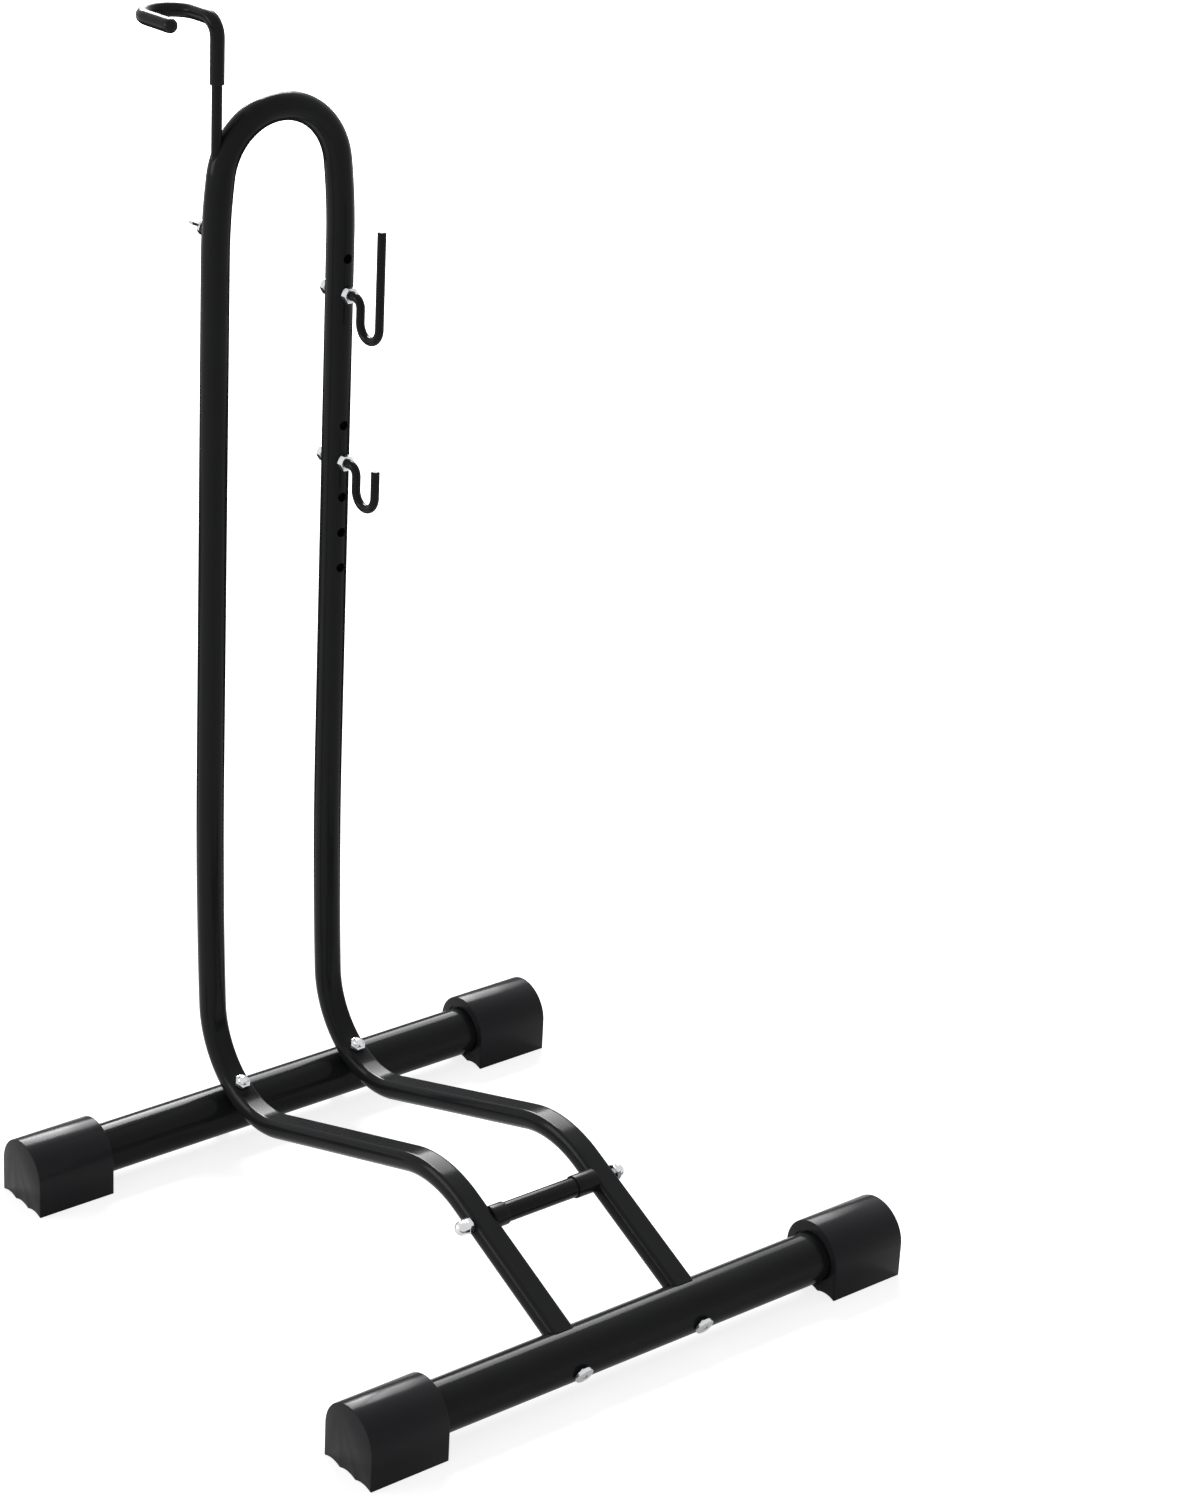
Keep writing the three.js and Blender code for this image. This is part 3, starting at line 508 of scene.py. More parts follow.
def bent_tube_tree():
    """A tube along a path. Where it is pressed, its upper side is flat and its corners are softly rounded."""
    tree, given, output = new_tree(
        "bent_tube",
        [
            ("Sides", "NodeSocketInt", 48),
            ("Half width", "NodeSocketFloat", 0.0),
            ("Flat top", "NodeSocketFloat", 0.0),
            ("Underside", "NodeSocketFloat", 0.0),
            ("Corner rounding", "NodeSocketFloat", 0.0),
            ("Material", "NodeSocketMaterial", None),
        ],
    )
    upper = carried(tree, "upper", "FLOAT_VECTOR")
    girth = carried(tree, "girth", "FLOAT")
    pressed = carried(tree, "pressed", "FLOAT")
    centre = carried(tree, "centre", "FLOAT_VECTOR")
    place = add(tree, "GeometryNodeInputPosition").outputs[0]
    curve = add(tree, "GeometryNodeMeshToCurve", {"Mesh": given.outputs["Geometry"]})
    turned_curve = add(
        tree, "GeometryNodeSetCurveNormal", {"Curve": curve.outputs[0], "Normal": upper}, mode="FREE"
    )
    marked = add(
        tree,
        "GeometryNodeStoreNamedAttribute",
        {"Geometry": turned_curve.outputs[0], "Name": "centre", "Value": place},
        data_type="FLOAT_VECTOR",
        domain="POINT",
    )
    outline = add(tree, "GeometryNodeCurvePrimitiveCircle", {"Resolution": given.outputs["Sides"], "Radius": 1.0})
    skin = add(
        tree,
        "GeometryNodeCurveToMesh",
        {"Curve": marked.outputs[0], "Profile Curve": outline.outputs[0], "Scale": girth, "Fill Caps": True},
    )
    arm = add(tree, "ShaderNodeVectorMath", {0: place, 1: centre}, operation="SUBTRACT").outputs[0]
    height = add(tree, "ShaderNodeVectorMath", {0: arm, 1: upper}, operation="DOT_PRODUCT").outputs["Value"]
    rise = add(tree, "ShaderNodeVectorMath", {0: upper, "Scale": height}, operation="SCALE").outputs[0]
    side = add(tree, "ShaderNodeVectorMath", {0: arm, 1: rise}, operation="SUBTRACT").outputs[0]
    sizes = {}
    for label in ("Half width", "Flat top", "Underside"):
        sizes[label] = add(
            tree, "ShaderNodeMix", {0: pressed, 2: girth, 3: given.outputs[label]}, data_type="FLOAT"
        ).outputs[0]
    wide = add(tree, "ShaderNodeMath", {0: sizes["Half width"], 1: girth}, operation="DIVIDE").outputs[0]
    deep = add(tree, "ShaderNodeMath", {0: sizes["Underside"], 1: girth}, operation="DIVIDE").outputs[0]
    low = add(tree, "ShaderNodeMath", {0: height, 1: deep}, operation="MULTIPLY").outputs[0]
    rounding = add(
        tree, "ShaderNodeMath", {0: given.outputs["Corner rounding"], 1: pressed}, operation="MULTIPLY"
    ).outputs[0]
    high = add(
        tree, "ShaderNodeMath", {0: height, 1: sizes["Flat top"], 2: rounding}, operation="SMOOTH_MIN"
    ).outputs[0]
    above = add(tree, "ShaderNodeMath", {0: height, 1: 0.0}, operation="GREATER_THAN").outputs[0]
    formed = add(tree, "ShaderNodeMix", {0: above, 2: low, 3: high}, data_type="FLOAT").outputs[0]
    new_rise = add(tree, "ShaderNodeVectorMath", {0: upper, "Scale": formed}, operation="SCALE").outputs[0]
    new_side = add(tree, "ShaderNodeVectorMath", {0: side, "Scale": wide}, operation="SCALE").outputs[0]
    new_arm = add(tree, "ShaderNodeVectorMath", {0: new_rise, 1: new_side}, operation="ADD").outputs[0]
    new_place = add(tree, "ShaderNodeVectorMath", {0: centre, 1: new_arm}, operation="ADD").outputs[0]
    shaped = add(tree, "GeometryNodeSetPosition", {"Geometry": skin.outputs[0], "Position": new_place})
    close_tree(tree, output, shaped.outputs[0], given.outputs["Material"])
    return tree


def fasteners_tree():
    """One fastener on each point, its foot on the point and its axis along the point's own direction."""
    tree, given, output = new_tree(
        "fasteners",
        [("Fastener", "NodeSocketObject", None), ("Material", "NodeSocketMaterial", None)],
    )
    axis = carried(tree, "axis", "FLOAT_VECTOR")
    turn = add(tree, "FunctionNodeAlignRotationToVector", {"Vector": axis}, axis="Z").outputs[0]
    shape = add(tree, "GeometryNodeObjectInfo", {"Object": given.outputs["Fastener"]})
    points = add(tree, "GeometryNodeMeshToPoints", {"Mesh": given.outputs["Geometry"]})
    placed = add(
        tree,
        "GeometryNodeInstanceOnPoints",
        {"Points": points.outputs[0], "Instance": shape.outputs["Geometry"], "Rotation": turn},
    )
    close_tree(tree, output, placed.outputs[0], given.outputs["Material"])
    return tree


# Making and joining shapes, all in millimetres until a piece is settled

def apply_modifiers(made):
    """Puts what an object's modifiers give into its mesh."""
    bpy.context.view_layer.update()
    mesh = bpy.data.meshes.new_from_object(made.evaluated_get(bpy.context.evaluated_depsgraph_get()))
    made.modifiers.clear()
    made.data = mesh
    return made


def grown(name, mesh, tree, **values):
    """The plain result of a tree on a mesh."""
    made = linked(name, mesh)
    modifier = made.modifiers.new("tree", "NODES")
    modifier.node_group = tree
    sockets = {item.name: item.identifier for item in tree.interface.items_tree if item.in_out == "INPUT"}
    for label, value in values.items():
        modifier[sockets[label.replace("_", " ")]] = value
    return apply_modifiers(made)


def combine(made, tool, operation="DIFFERENCE"):
    """Cuts a solid with another, or joins or intersects the two."""
    modifier = made.modifiers.new("combine", "BOOLEAN")
    modifier.operation = operation
    modifier.solver = "MANIFOLD"
    modifier.object = tool
    apply_modifiers(made)
    bpy.data.objects.remove(tool)
    return made


def rounded(made, width, segments, angle):
    """Rounds a solid's edges that turn by more than an angle in degrees."""
    modifier = made.modifiers.new("edges", "BEVEL")
    modifier.width = width
    modifier.segments = segments
    modifier.limit_method = "ANGLE"
    modifier.angle_limit = math.radians(angle)
    modifier.use_clamp_overlap = True
    return apply_modifiers(made)


def tidy(made, crease=TUBE_CREASE):
    """Welds a solid's mesh, turns its faces outwards and shades it smooth between its creases."""
    shape = bmesh.new()
    shape.from_mesh(made.data)
    bmesh.ops.remove_doubles(shape, verts=shape.verts, dist=1e-4)
    bmesh.ops.dissolve_degenerate(shape, edges=shape.edges, dist=1e-4)
    bmesh.ops.recalc_face_normals(shape, faces=shape.faces)
    shape.to_mesh(made.data)
    shape.free()
    made.data.polygons.foreach_set("use_smooth", [True] * len(made.data.polygons))
    made.data.set_sharp_from_angle(angle=math.radians(crease))
    for label in ("upper", "girth", "pressed", "centre", "axis"):
        if label in made.data.attributes:
            made.data.attributes.remove(made.data.attributes[label])
    return made


def settle(made, material, body, *nodes):
    """Finishes a piece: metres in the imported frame, its material, its body and the nodes that it stands for."""
    made.data.transform(made.matrix_world)
    made.matrix_world = Matrix.Identity(4)
    made.data.transform(Matrix.Scale(METRES, 4) @ Matrix.Translation((0, row_shift, 0)))
    made.data.materials.clear()
    made.data.materials.append(material)
    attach(made, body)
    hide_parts(*nodes)
    return made


def drawn_solid(name, shape):
    """The object for a drawn solid, its faces turned outwards."""
    bmesh.ops.recalc_face_normals(shape, faces=shape.faces)
    mesh = bpy.data.meshes.new(name)
    shape.to_mesh(mesh)
    shape.free()
    return linked(name, mesh)


def turned(name, profile, sides=LATHE_SIDES, closed=False):
    """A solid turned about +Z from (radius, height) pairs. A closed profile makes a ring."""
    shape = bmesh.new()
    rings = []
    for radius, height in profile:
        count = sides if radius > 0 else 1
        angles = [2 * math.pi * i / sides for i in range(count)]
        rings.append([shape.verts.new((radius * math.cos(a), radius * math.sin(a), height)) for a in angles])
    following = rings[1:] + rings[:1] if closed else rings[1:]
    for low, high in zip(rings, following):
        for i in range(sides):
            j = (i + 1) % sides
            corners = [low[i % len(low)], low[j % len(low)], high[j % len(high)], high[i % len(high)]]
            shape.faces.new(list(dict.fromkeys(corners)))
    return drawn_solid(name, shape)


def arc(centre, radius, start, end, steps=6):
    """Points of a fillet in a profile, by angles in degrees."""
    angles = [math.radians(start + (end - start) * i / steps) for i in range(steps + 1)]
    return [(centre[0] + radius * math.cos(a), centre[1] + radius * math.sin(a)) for a in angles]


def extruded(name, outline, depth):
    """A flat outline of points drawn out along +Z."""
    shape = bmesh.new()
    base = shape.faces.new([shape.verts.new((x, y, 0)) for x, y in outline])
    drawn = bmesh.ops.extrude_face_region(shape, geom=[base])
    tops = [item for item in drawn["geom"] if isinstance(item, bmesh.types.BMVert)]
    bmesh.ops.translate(shape, verts=tops, vec=(0, 0, depth))
    return drawn_solid(name, shape)


def round_bar(radius, start, end):
    """A plain round bar between two points, for cutting."""
    length = (end - start).length
    made = turned("drill", [(0, 0), (radius, 0), (radius, length), (0, length)])
    made.data.transform(Matrix.Translation(start) @ Z_AXIS.rotation_difference(end - start).to_matrix().to_4x4())
    return made


def drill(made, *bars):
    """Cuts a solid with round bars, each as (radius, start, end)."""
    for radius, start, end in bars:
        combine(made, round_bar(radius, start, end))
    return made


bent_tube = bent_tube_tree()
fasteners = fasteners_tree()


# Frame tube

def leg_skin(name, stops, shares, inset, sides):
    """The leg tube's outside along a path, pressed by these shares and moved inwards by an inset."""
    return tidy(
        grown(
            name,
            path_mesh(stops, TUBE_RADIUS - inset, shares),
            bent_tube,
            Sides=sides,
            Half_width=PRESSED_HALF_WIDTH - inset,
            Flat_top=PRESSED_TOP - inset,
            Underside=PRESSED_BOTTOM - inset,
            Corner_rounding=PRESSED_ROUNDING,
            Material=coat,
        )
    )


def leg_lengths():
    """The front straight and the run that join the front crossbar to the heel."""
    run = slope(-RUN_SLOPE)
    run_up = slope(math.pi / 2 - RUN_SLOPE)
    rest = heel_centre - front_start + front_up * HUMP_RADIUS - run_up * (HUMP_RADIUS + HEEL_RADIUS)

    def cross(a, b):
        return a.y * b.z - a.z * b.y

    return cross(rest, run) / cross(front_along, run), cross(front_along, rest) / cross(front_along, run)


front_length, run_length = leg_lengths()
spacer_centre = front_start + front_along * (front_length - SPACER_ALONG) + front_up * SPACER_RISE


def frame_stops():
    """The whole path, from the left leg's front end over the hoop to the right one's."""
    heel_angle = math.pi / 2 - LEAN_ANGLE + RUN_SLOPE
    hump_angle = FRONT_SLOPE + RUN_SLOPE
    leg_length = hoop_start_height - lean_end_height
    start = Vector((-LEG_X, front_start.y, front_start.z))
    route = Route(start, front_along, front_up)
    route.straight(front_length).bend(HUMP_RADIUS, -hump_angle, X_AXIS, HUMP_STEPS).straight(run_length)
    route.bend(HEEL_RADIUS, heel_angle, X_AXIS, HEEL_STEPS).bend(LEAN_RADIUS, LEAN_ANGLE, X_AXIS, LEAN_STEPS)
    route.straight(leg_length).bend(HOOP_SIDE_RADIUS, HOOP_SIDE_ANGLE, Y_AXIS, HOOP_SIDE_STEPS)
    route.bend(hoop_top_radius, math.pi - 2 * HOOP_SIDE_ANGLE, Y_AXIS, HOOP_TOP_STEPS)
    route.bend(HOOP_SIDE_RADIUS, HOOP_SIDE_ANGLE, Y_AXIS, HOOP_SIDE_STEPS).straight(leg_length)
    route.bend(LEAN_RADIUS, -LEAN_ANGLE, X_AXIS, LEAN_STEPS).bend(HEEL_RADIUS, -heel_angle, X_AXIS, HEEL_STEPS)
    route.straight(run_length).bend(HUMP_RADIUS, hump_angle, X_AXIS, HUMP_STEPS).straight(front_length)
    return route.stops


def pressed_share(centre, along):
    """How far the tube is pressed: fully in front of the heel, less and less up its back."""
    if centre.y < heel_centre.y or abs(along.y) > math.cos(RUN_SLOPE):
        return 1.0
    share = (PRESS_START_HEIGHT - centre.z) / (PRESS_START_HEIGHT - PRESS_FULL_HEIGHT)
    share = min(max(share, 0), 1)
    return share * share * (3 - 2 * share)


def left_leg_x(height):
    """The left leg's axis at a height where the hoop's side curves in."""
    above = max(height - hoop_start_height, 0)
    return HOOP_SIDE_RADIUS - math.sqrt(HOOP_SIDE_RADIUS**2 - above**2) - LEG_X


def frame_tube():
    stops = frame_stops()
    shares = [pressed_share(centre, along) for centre, along, _ in stops]
    outer = leg_skin("frame_tube_skin", stops, shares, 0, TUBE_SIDES)
    inner = leg_skin("frame_tube_skin", stops, shares, TUBE_WALL, BORE_SIDES)
    outer.name = "bent_frame_tube"
    combine(outer, inner)
    over = TUBE_RADIUS + OVERRUN
    bar_reach = X_AXIS * (STAND_WIDTH / 2)
    drills = [(BAR_RADIUS + GAP, bar - bar_reach, bar + bar_reach) for bar in (front_bar, rear_bar)]
    for side in BOTH_SIDES:
        bolt = rear_bolt_foot + X_AXIS * (side * LEG_X)
        reach = rear_bolt_up * (saddle_distance + over)
        drills.append((BOLT_RADIUS + GAP, bolt, bolt + reach))
        stud = spacer_centre + X_AXIS * (side * LEG_X)
        drills.append((BOLT_RADIUS + GAP, stud - X_AXIS * over, stud + X_AXIS * over))
    heights = [LOWER_RACK_HEIGHT + i * LOWER_HOLE_PITCH for i in range(5)]
    heights += [UPPER_RACK_HEIGHT + i * UPPER_HOLE_PITCH for i in range(2)]
    for height in heights:
        hole = Vector((LEG_X, leg_y, height))
        drills.append((HOOK_RADIUS + GAP, hole - Y_AXIS * over, hole + Y_AXIS * over))
    rod = Vector((-LEG_X, leg_y, hoop_start_height))
    drills.append((ROD_RADIUS + GAP, rod, rod + Z_AXIS * (HOOP_HEIGHT - hoop_start_height)))
    clamp = Vector((left_leg_x(CLAMP_HEIGHT), leg_y, CLAMP_HEIGHT))
    drills.append((BOLT_RADIUS + GAP, clamp, clamp + Y_AXIS * over))
    drill(outer, *drills)
    return settle(tidy(outer), coat, "stand", "frame_tube")


frame_tube()


# Crossbars

def crossbar(name, bar, node):
    reach = X_AXIS * (STAND_WIDTH / 2 - FOOT_END_WALL - GAP)
    route = Route(bar - reach, X_AXIS, Z_AXIS).straight(2 * reach.length, 10)
    skins = []
    for inset in (0, TUBE_WALL):
        mesh = path_mesh(route.stops, BAR_RADIUS - inset)
        skins.append(tidy(grown(name, mesh, bent_tube, Sides=BAR_SIDES, Material=coat)))
    outer, inner = skins
    inner.data.transform(Matrix.Scale(BORE_STRETCH, 4, X_AXIS))
    combine(outer, inner)
    outer.name = name
    return settle(tidy(outer), coat, "stand", node)


crossbar("front_floor_bar", front_bar, "front_crossbar")
crossbar("rear_floor_bar", rear_bar, "rear_crossbar")


# Feet

def foot_outline():
    """The foot's end view: straight sides, a round top and ridges under the sole."""
    half = FOOT_WIDTH / 2
    scallop = (FOOT_WIDTH - RIDGE_COUNT * RIDGE_WIDTH) / (RIDGE_COUNT - 1)
    points = [(-half, 0)]
    for i in range(RIDGE_COUNT - 1):
        start = -half + RIDGE_WIDTH + i * (RIDGE_WIDTH + scallop)
        for k in range(SCALLOP_STEPS + 1):
            share = k / SCALLOP_STEPS
            points.append((start + share * scallop, 4 * SCALLOP_DEPTH * share * (1 - share)))
    points.append((half, 0))
    angles = [math.pi * i / FOOT_ARCH_STEPS for i in range(FOOT_ARCH_STEPS + 1)]
    points += [(half * math.cos(a), FOOT_ARCH_HEIGHT + half * math.sin(a)) for a in angles]
    return points


def foot(name, side, bar, node):
    """A moulded foot with its outer end towards side, and the crossbar's end in its bore."""
    made = extruded(name, foot_outline(), FOOT_LENGTH)
    rounded(made, FOOT_EDGE, segments=3, angle=50)
    made.data.transform(Matrix((Z_AXIS, X_AXIS, Y_AXIS)).to_4x4())
    mouth = Vector((-OVERRUN, 0, BAR_HEIGHT))
    drill(
        made,
        (BAR_RADIUS + GAP, mouth, Vector((FOOT_LENGTH - FOOT_END_WALL, 0, BAR_HEIGHT))),
        (BAR_RADIUS + FOOT_MOUTH_STEP, mouth, Vector((FOOT_MOUTH_DEPTH, 0, BAR_HEIGHT))),
    )
    turn = Matrix.Rotation(0 if side > 0 else math.pi, 4, "Z")
    made.data.transform(Matrix.Translation((side * (STAND_WIDTH / 2 - FOOT_LENGTH), bar.y, 0)) @ turn)
    return settle(tidy(made, FINE_CREASE), rubber, "stand", node)


for bar_name, bar in (("front", front_bar), ("rear", rear_bar)):
    for side_name, side in (("left", -1), ("right", 1)):
        foot(f"moulded_foot_{bar_name}_{side_name}", side, bar, f"foot_{bar_name}_{side_name}")


# Nuts, screws and bolts

def chamfered_hexagon(height):
    """A nut's hexagon along +Z, with the cones of a turned blank at both ends."""
    half_flats = NUT_ACROSS_FLATS / 2
    points = [(NUT_CORNER * math.cos(math.pi * i / 3), NUT_CORNER * math.sin(math.pi * i / 3)) for i in range(6)]
    drop = (NUT_CORNER - half_flats) * math.tan(math.pi / 6) * NUT_CONE_DEPTH
    face, outer = half_flats - NUT_FACE_INSET, NUT_CORNER + NUT_BLANK_MARGIN
    cones = [(0, 0), (face, 0), (outer, drop), (outer, height - drop), (face, height), (0, height)]
    return combine(extruded("hexagon", points, height), turned("blank", cones, BLANK_SIDES), "INTERSECT")


def crown(radius, foot, rise):
    """The profile of a domed end, from its foot to just short of its top."""
    angles = [math.radians(a) for a in range(0, 90, CROWN_STEP)]
    return [(radius * math.cos(a), foot + rise * math.sin(a)) for a in angles]


def cap_nut_shape(hex_height, dome_radius, height):
    """A low hexagon with a cap along +Z: straight first where it is tall, and then domed."""
    dome_foot = max(hex_height, height - dome_radius)
    dome = crown(dome_radius, dome_foot, height - dome_foot)
    profile = [(0, DOME_SINK), (dome_radius, DOME_SINK), *dome, (0, height)]
    return tidy(combine(chamfered_hexagon(hex_height), turned("dome", profile), "UNION"), NUT_CREASE)


def hex_nut_shape():
    """A plain hexagon nut with both faces chamfered and its bore open, along +Z."""
    made = chamfered_hexagon(NUT_HEIGHT)
    drill(made, (HOOK_RADIUS + GAP, Vector((0, 0, -OVERRUN / 2)), Vector((0, 0, NUT_HEIGHT + OVERRUN / 2))))
    return tidy(made, NUT_CREASE)


def headed_shape(shank_radius, shank_length, head_radius, head_height, rim, recess):
    """A pan-headed screw with a tapered cross recess: its head stands above zero and its shank hangs below."""
    profile = [
        (0, -shank_length),
        (shank_radius - THREAD_CHAMFER, -shank_length),
        (shank_radius, THREAD_CHAMFER - shank_length),
        (shank_radius, 0),
        (head_radius - HEAD_EDGE, 0),
        (head_radius, HEAD_EDGE),
        *crown(head_radius, rim, head_height - rim),
        (0, head_height),
    ]
    made = turned("screw", profile)
    length, width, depth = recess
    corners = [(x * length / 2, y * width / 2) for x, y in ((-1, -1), (1, -1), (1, 1), (-1, 1))]
    for turn in (0, math.pi / 2):
        slot = extruded("slot", corners, 2 * depth)
        for vertex in slot.data.vertices:
            if vertex.co.z < depth:
                vertex.co.x *= RECESS_FLOOR[0]
                vertex.co.y *= RECESS_FLOOR[1]
        slot.data.transform(Matrix.Translation((0, 0, head_height - depth)) @ Matrix.Rotation(turn, 4, "Z"))
        combine(made, slot)
    return tidy(made, NUT_CREASE)


def fastener_set(name, shape, places, body, *nodes):
    """One piece of several equal fasteners, each as (foot, axis)."""
    mesh = bpy.data.meshes.new(name)
    mesh.from_pydata([foot for foot, _ in places], [], [])
    carry(mesh, "axis", "FLOAT_VECTOR", [value for _, axis in places for value in axis])
    made = grown(name, mesh, fasteners, Fastener=shape, Material=zinc)
    bpy.data.objects.remove(shape)
    return settle(tidy(made, NUT_CREASE), zinc, body, *nodes)


heel_reach = HEEL_RADIUS - PRESSED_TOP
rear_nut_seat = heel_distance * math.cos(REAR_BOLT_TURN) - math.sqrt(heel_reach**2 - NUT_CORNER**2) + GAP
rear_feet = [rear_bolt_foot + X_AXIS * (side * LEG_X) for side in BOTH_SIDES]
fastener_set(
    "rear_cap_nuts",
    cap_nut_shape(REAR_CAP_HEX_HEIGHT, REAR_CAP_DOME_RADIUS, REAR_CAP_HEIGHT),
    [(foot + rear_bolt_up * rear_nut_seat, rear_bolt_up) for foot in rear_feet],
    "stand",
    "rear_cap_nut_left",
    "rear_cap_nut_right",
)
for side_name, side, height in (("left", -1, LEFT_SPACER_CAP_HEIGHT), ("right", 1, RIGHT_SPACER_CAP_HEIGHT)):
    fastener_set(
        f"spacer_end_nut_{side_name}",
        cap_nut_shape(SPACER_CAP_HEX_HEIGHT, SPACER_CAP_DOME_RADIUS, height),
        [(spacer_centre + X_AXIS * (side * (LEG_X + PRESSED_HALF_WIDTH + FIT)), X_AXIS * side)],
        "stand",
        f"spacer_cap_nut_{side_name}",
    )

hook_nuts = [
    (Vector((LEG_X, leg_y + way * (TUBE_RADIUS + GAP), height)), Y_AXIS * way)
    for height in (LONG_HOOK_HEIGHT, SHORT_HOOK_HEIGHT)
    for way in BOTH_SIDES
]
fastener_set(
    "hook_nuts",
    hex_nut_shape(),
    hook_nuts,
    "stand",
    "long_hook_front_nut",
    "long_hook_rear_nut",
    "short_hook_front_nut",
    "short_hook_rear_nut",
)

screw_axis = front_bar + front_up * (FRONT_OFFSET - SCREW_DROP) - front_along * (BAR_RADIUS + GAP)
fastener_set(
    "front_screws",
    headed_shape(SCREW_RADIUS, SCREW_LENGTH, SCREW_HEAD_RADIUS, SCREW_HEAD_HEIGHT, SCREW_RIM, SCREW_RECESS),
    [(screw_axis + X_AXIS * (side * LEG_X), -front_along) for side in BOTH_SIDES],
    "stand",
    "front_screw_left",
    "front_screw_right",
)

bolt_length = BAR_RADIUS + GAP + rear_nut_seat + REAR_THREAD_REACH
fastener_set(
    "rear_bolts",
    headed_shape(BOLT_RADIUS, bolt_length, BOLT_HEAD_RADIUS, BOLT_HEAD_HEIGHT, BOLT_RIM, BOLT_RECESS),
    [(foot - rear_bolt_up * (BAR_RADIUS + GAP), -rear_bolt_up) for foot in rear_feet],
    "stand",
    "rear_bolt_left",
    "rear_bolt_right",
)


# Spacer between the legs and its two sleeves, with their ends shaped to the legs

def leg_front(side):
    """The front straight of a leg, which the spacer's ends fit closely."""
    start = front_start + X_AXIS * (side * LEG_X)
    stops = Route(start, front_along, front_up).straight(front_length, 4).stops
    return leg_skin("leg_front", stops, [1.0] * len(stops), -FIT, TUBE_SIDES)


def spacer_piece(name, inner, outer, start, end, edge):
    """A tube on the spacer's axis between two places along X: free ends are rounded, ends in a leg fit it."""
    half = (end - start) / 2
    profile = [
        (inner, -half),
        *arc((outer - edge, edge - half), edge, -90, 0, 4),
        *arc((outer - edge, half - edge), edge, 0, 90, 4),
        (inner, half),
    ]
    made = turned(name, profile, SPACER_SIDES, closed=True)
    centre = spacer_centre + X_AXIS * ((start + end) / 2)
    made.data.transform(Matrix.Translation(centre) @ Matrix.Rotation(math.pi / 2, 4, "Y"))
    for side in BOTH_SIDES:
        combine(made, leg_front(side))
    return tidy(made)


inner_x = LEG_X - PRESSED_HALF_WIDTH
end_x = inner_x + SPACER_LAP
spacer = spacer_piece("spacer_bar", SPACER_RADIUS - SPACER_WALL, SPACER_RADIUS, -end_x, end_x, SPACER_EDGE)
settle(spacer, coat, "stand", "spacer_tube")
for side_name, reach in (
    ("left", (-end_x, LEFT_SLEEVE_LENGTH - inner_x)),
    ("right", (inner_x - RIGHT_SLEEVE_LENGTH, end_x)),
):
    name = f"spacer_end_sleeve_{side_name}"
    sleeve = spacer_piece(name, SPACER_RADIUS + GAP, SLEEVE_RADIUS, *reach, SLEEVE_EDGE)
    settle(sleeve, vinyl, "stand", f"spacer_sleeve_{side_name}")


# J-hooks with their threaded tails

def hook(name, height, prong, node):
    """A hook from its tail's end, threaded like a bolt, to the end of its prong."""
    tail_y = leg_y + TUBE_RADIUS + GAP + NUT_HEIGHT + HOOK_TAIL
    bend_y = leg_y - TUBE_RADIUS - GAP - NUT_HEIGHT - HOOK_STRAIGHT
    thread = THREAD_CRESTS * THREAD_PITCH
    route = Route(Vector((LEG_X, tail_y, height)), -Y_AXIS, Z_AXIS)
    route.straight(HOOK_TIP_CHAMFER).straight(thread, THREAD_PITCH / 4)
    girths = [HOOK_RADIUS - HOOK_TIP_CHAMFER]
    girths += [HOOK_RADIUS - THREAD_DEPTH * (0, 0.5, 1, 0.5)[i % 4] for i in range(4 * THREAD_CRESTS + 1)]
    route.straight(tail_y - HOOK_TIP_CHAMFER - thread - bend_y, 4)
    route.bend(HOOK_BEND_RADIUS, math.pi / 2, X_AXIS, 16).straight(HOOK_DROP - HOOK_BEND_RADIUS)
    route.bend(HOOK_THROAT_RADIUS, -math.pi, X_AXIS, 36)
    route.straight(prong - HOOK_TIP_CHAMFER, 5).straight(HOOK_TIP_CHAMFER)
    girths += [HOOK_RADIUS] * (len(route.stops) - len(girths) - 1) + [HOOK_RADIUS - HOOK_TIP_CHAMFER]
    made = grown(name, path_mesh(route.stops, girths), bent_tube, Sides=WIRE_SIDES, Material=coat)
    return settle(tidy(made), coat, node, node)


hook("long_j_hook", LONG_HOOK_HEIGHT, LONG_HOOK_PRONG, "long_hook")
hook("short_j_hook", SHORT_HOOK_HEIGHT, SHORT_HOOK_PRONG, "short_hook")


# Sliding rod and the vinyl cover on its bent arm

def arm_route(bottom, end_gap):
    """The rod's path from a height upwards, over the bend and round the turn to the arm's end."""
    route = Route(Vector((-LEG_X, leg_y, bottom)), Z_AXIS, -Y_AXIS)
    route.straight(ARM_HEIGHT - ARM_BEND_RADIUS - bottom, 6).bend(ARM_BEND_RADIUS, -math.pi / 2, X_AXIS, 20)
    route.straight(ARM_REACH - ARM_BEND_RADIUS, 3).bend(ARM_TURN_RADIUS, math.pi, Z_AXIS, 48)
    return route.straight(ARM_RETURN - end_gap, 3)


def sliding_rod():
    stops = arm_route(ROD_BOTTOM_HEIGHT, GAP).stops
    made = grown("sliding_steel_rod", path_mesh(stops, ROD_RADIUS), bent_tube, Sides=WIRE_SIDES, Material=coat)
    rounded(tidy(made), ROD_EDGE, segments=2, angle=60)
    return settle(tidy(made), coat, "top_hook", "sliding_rod")


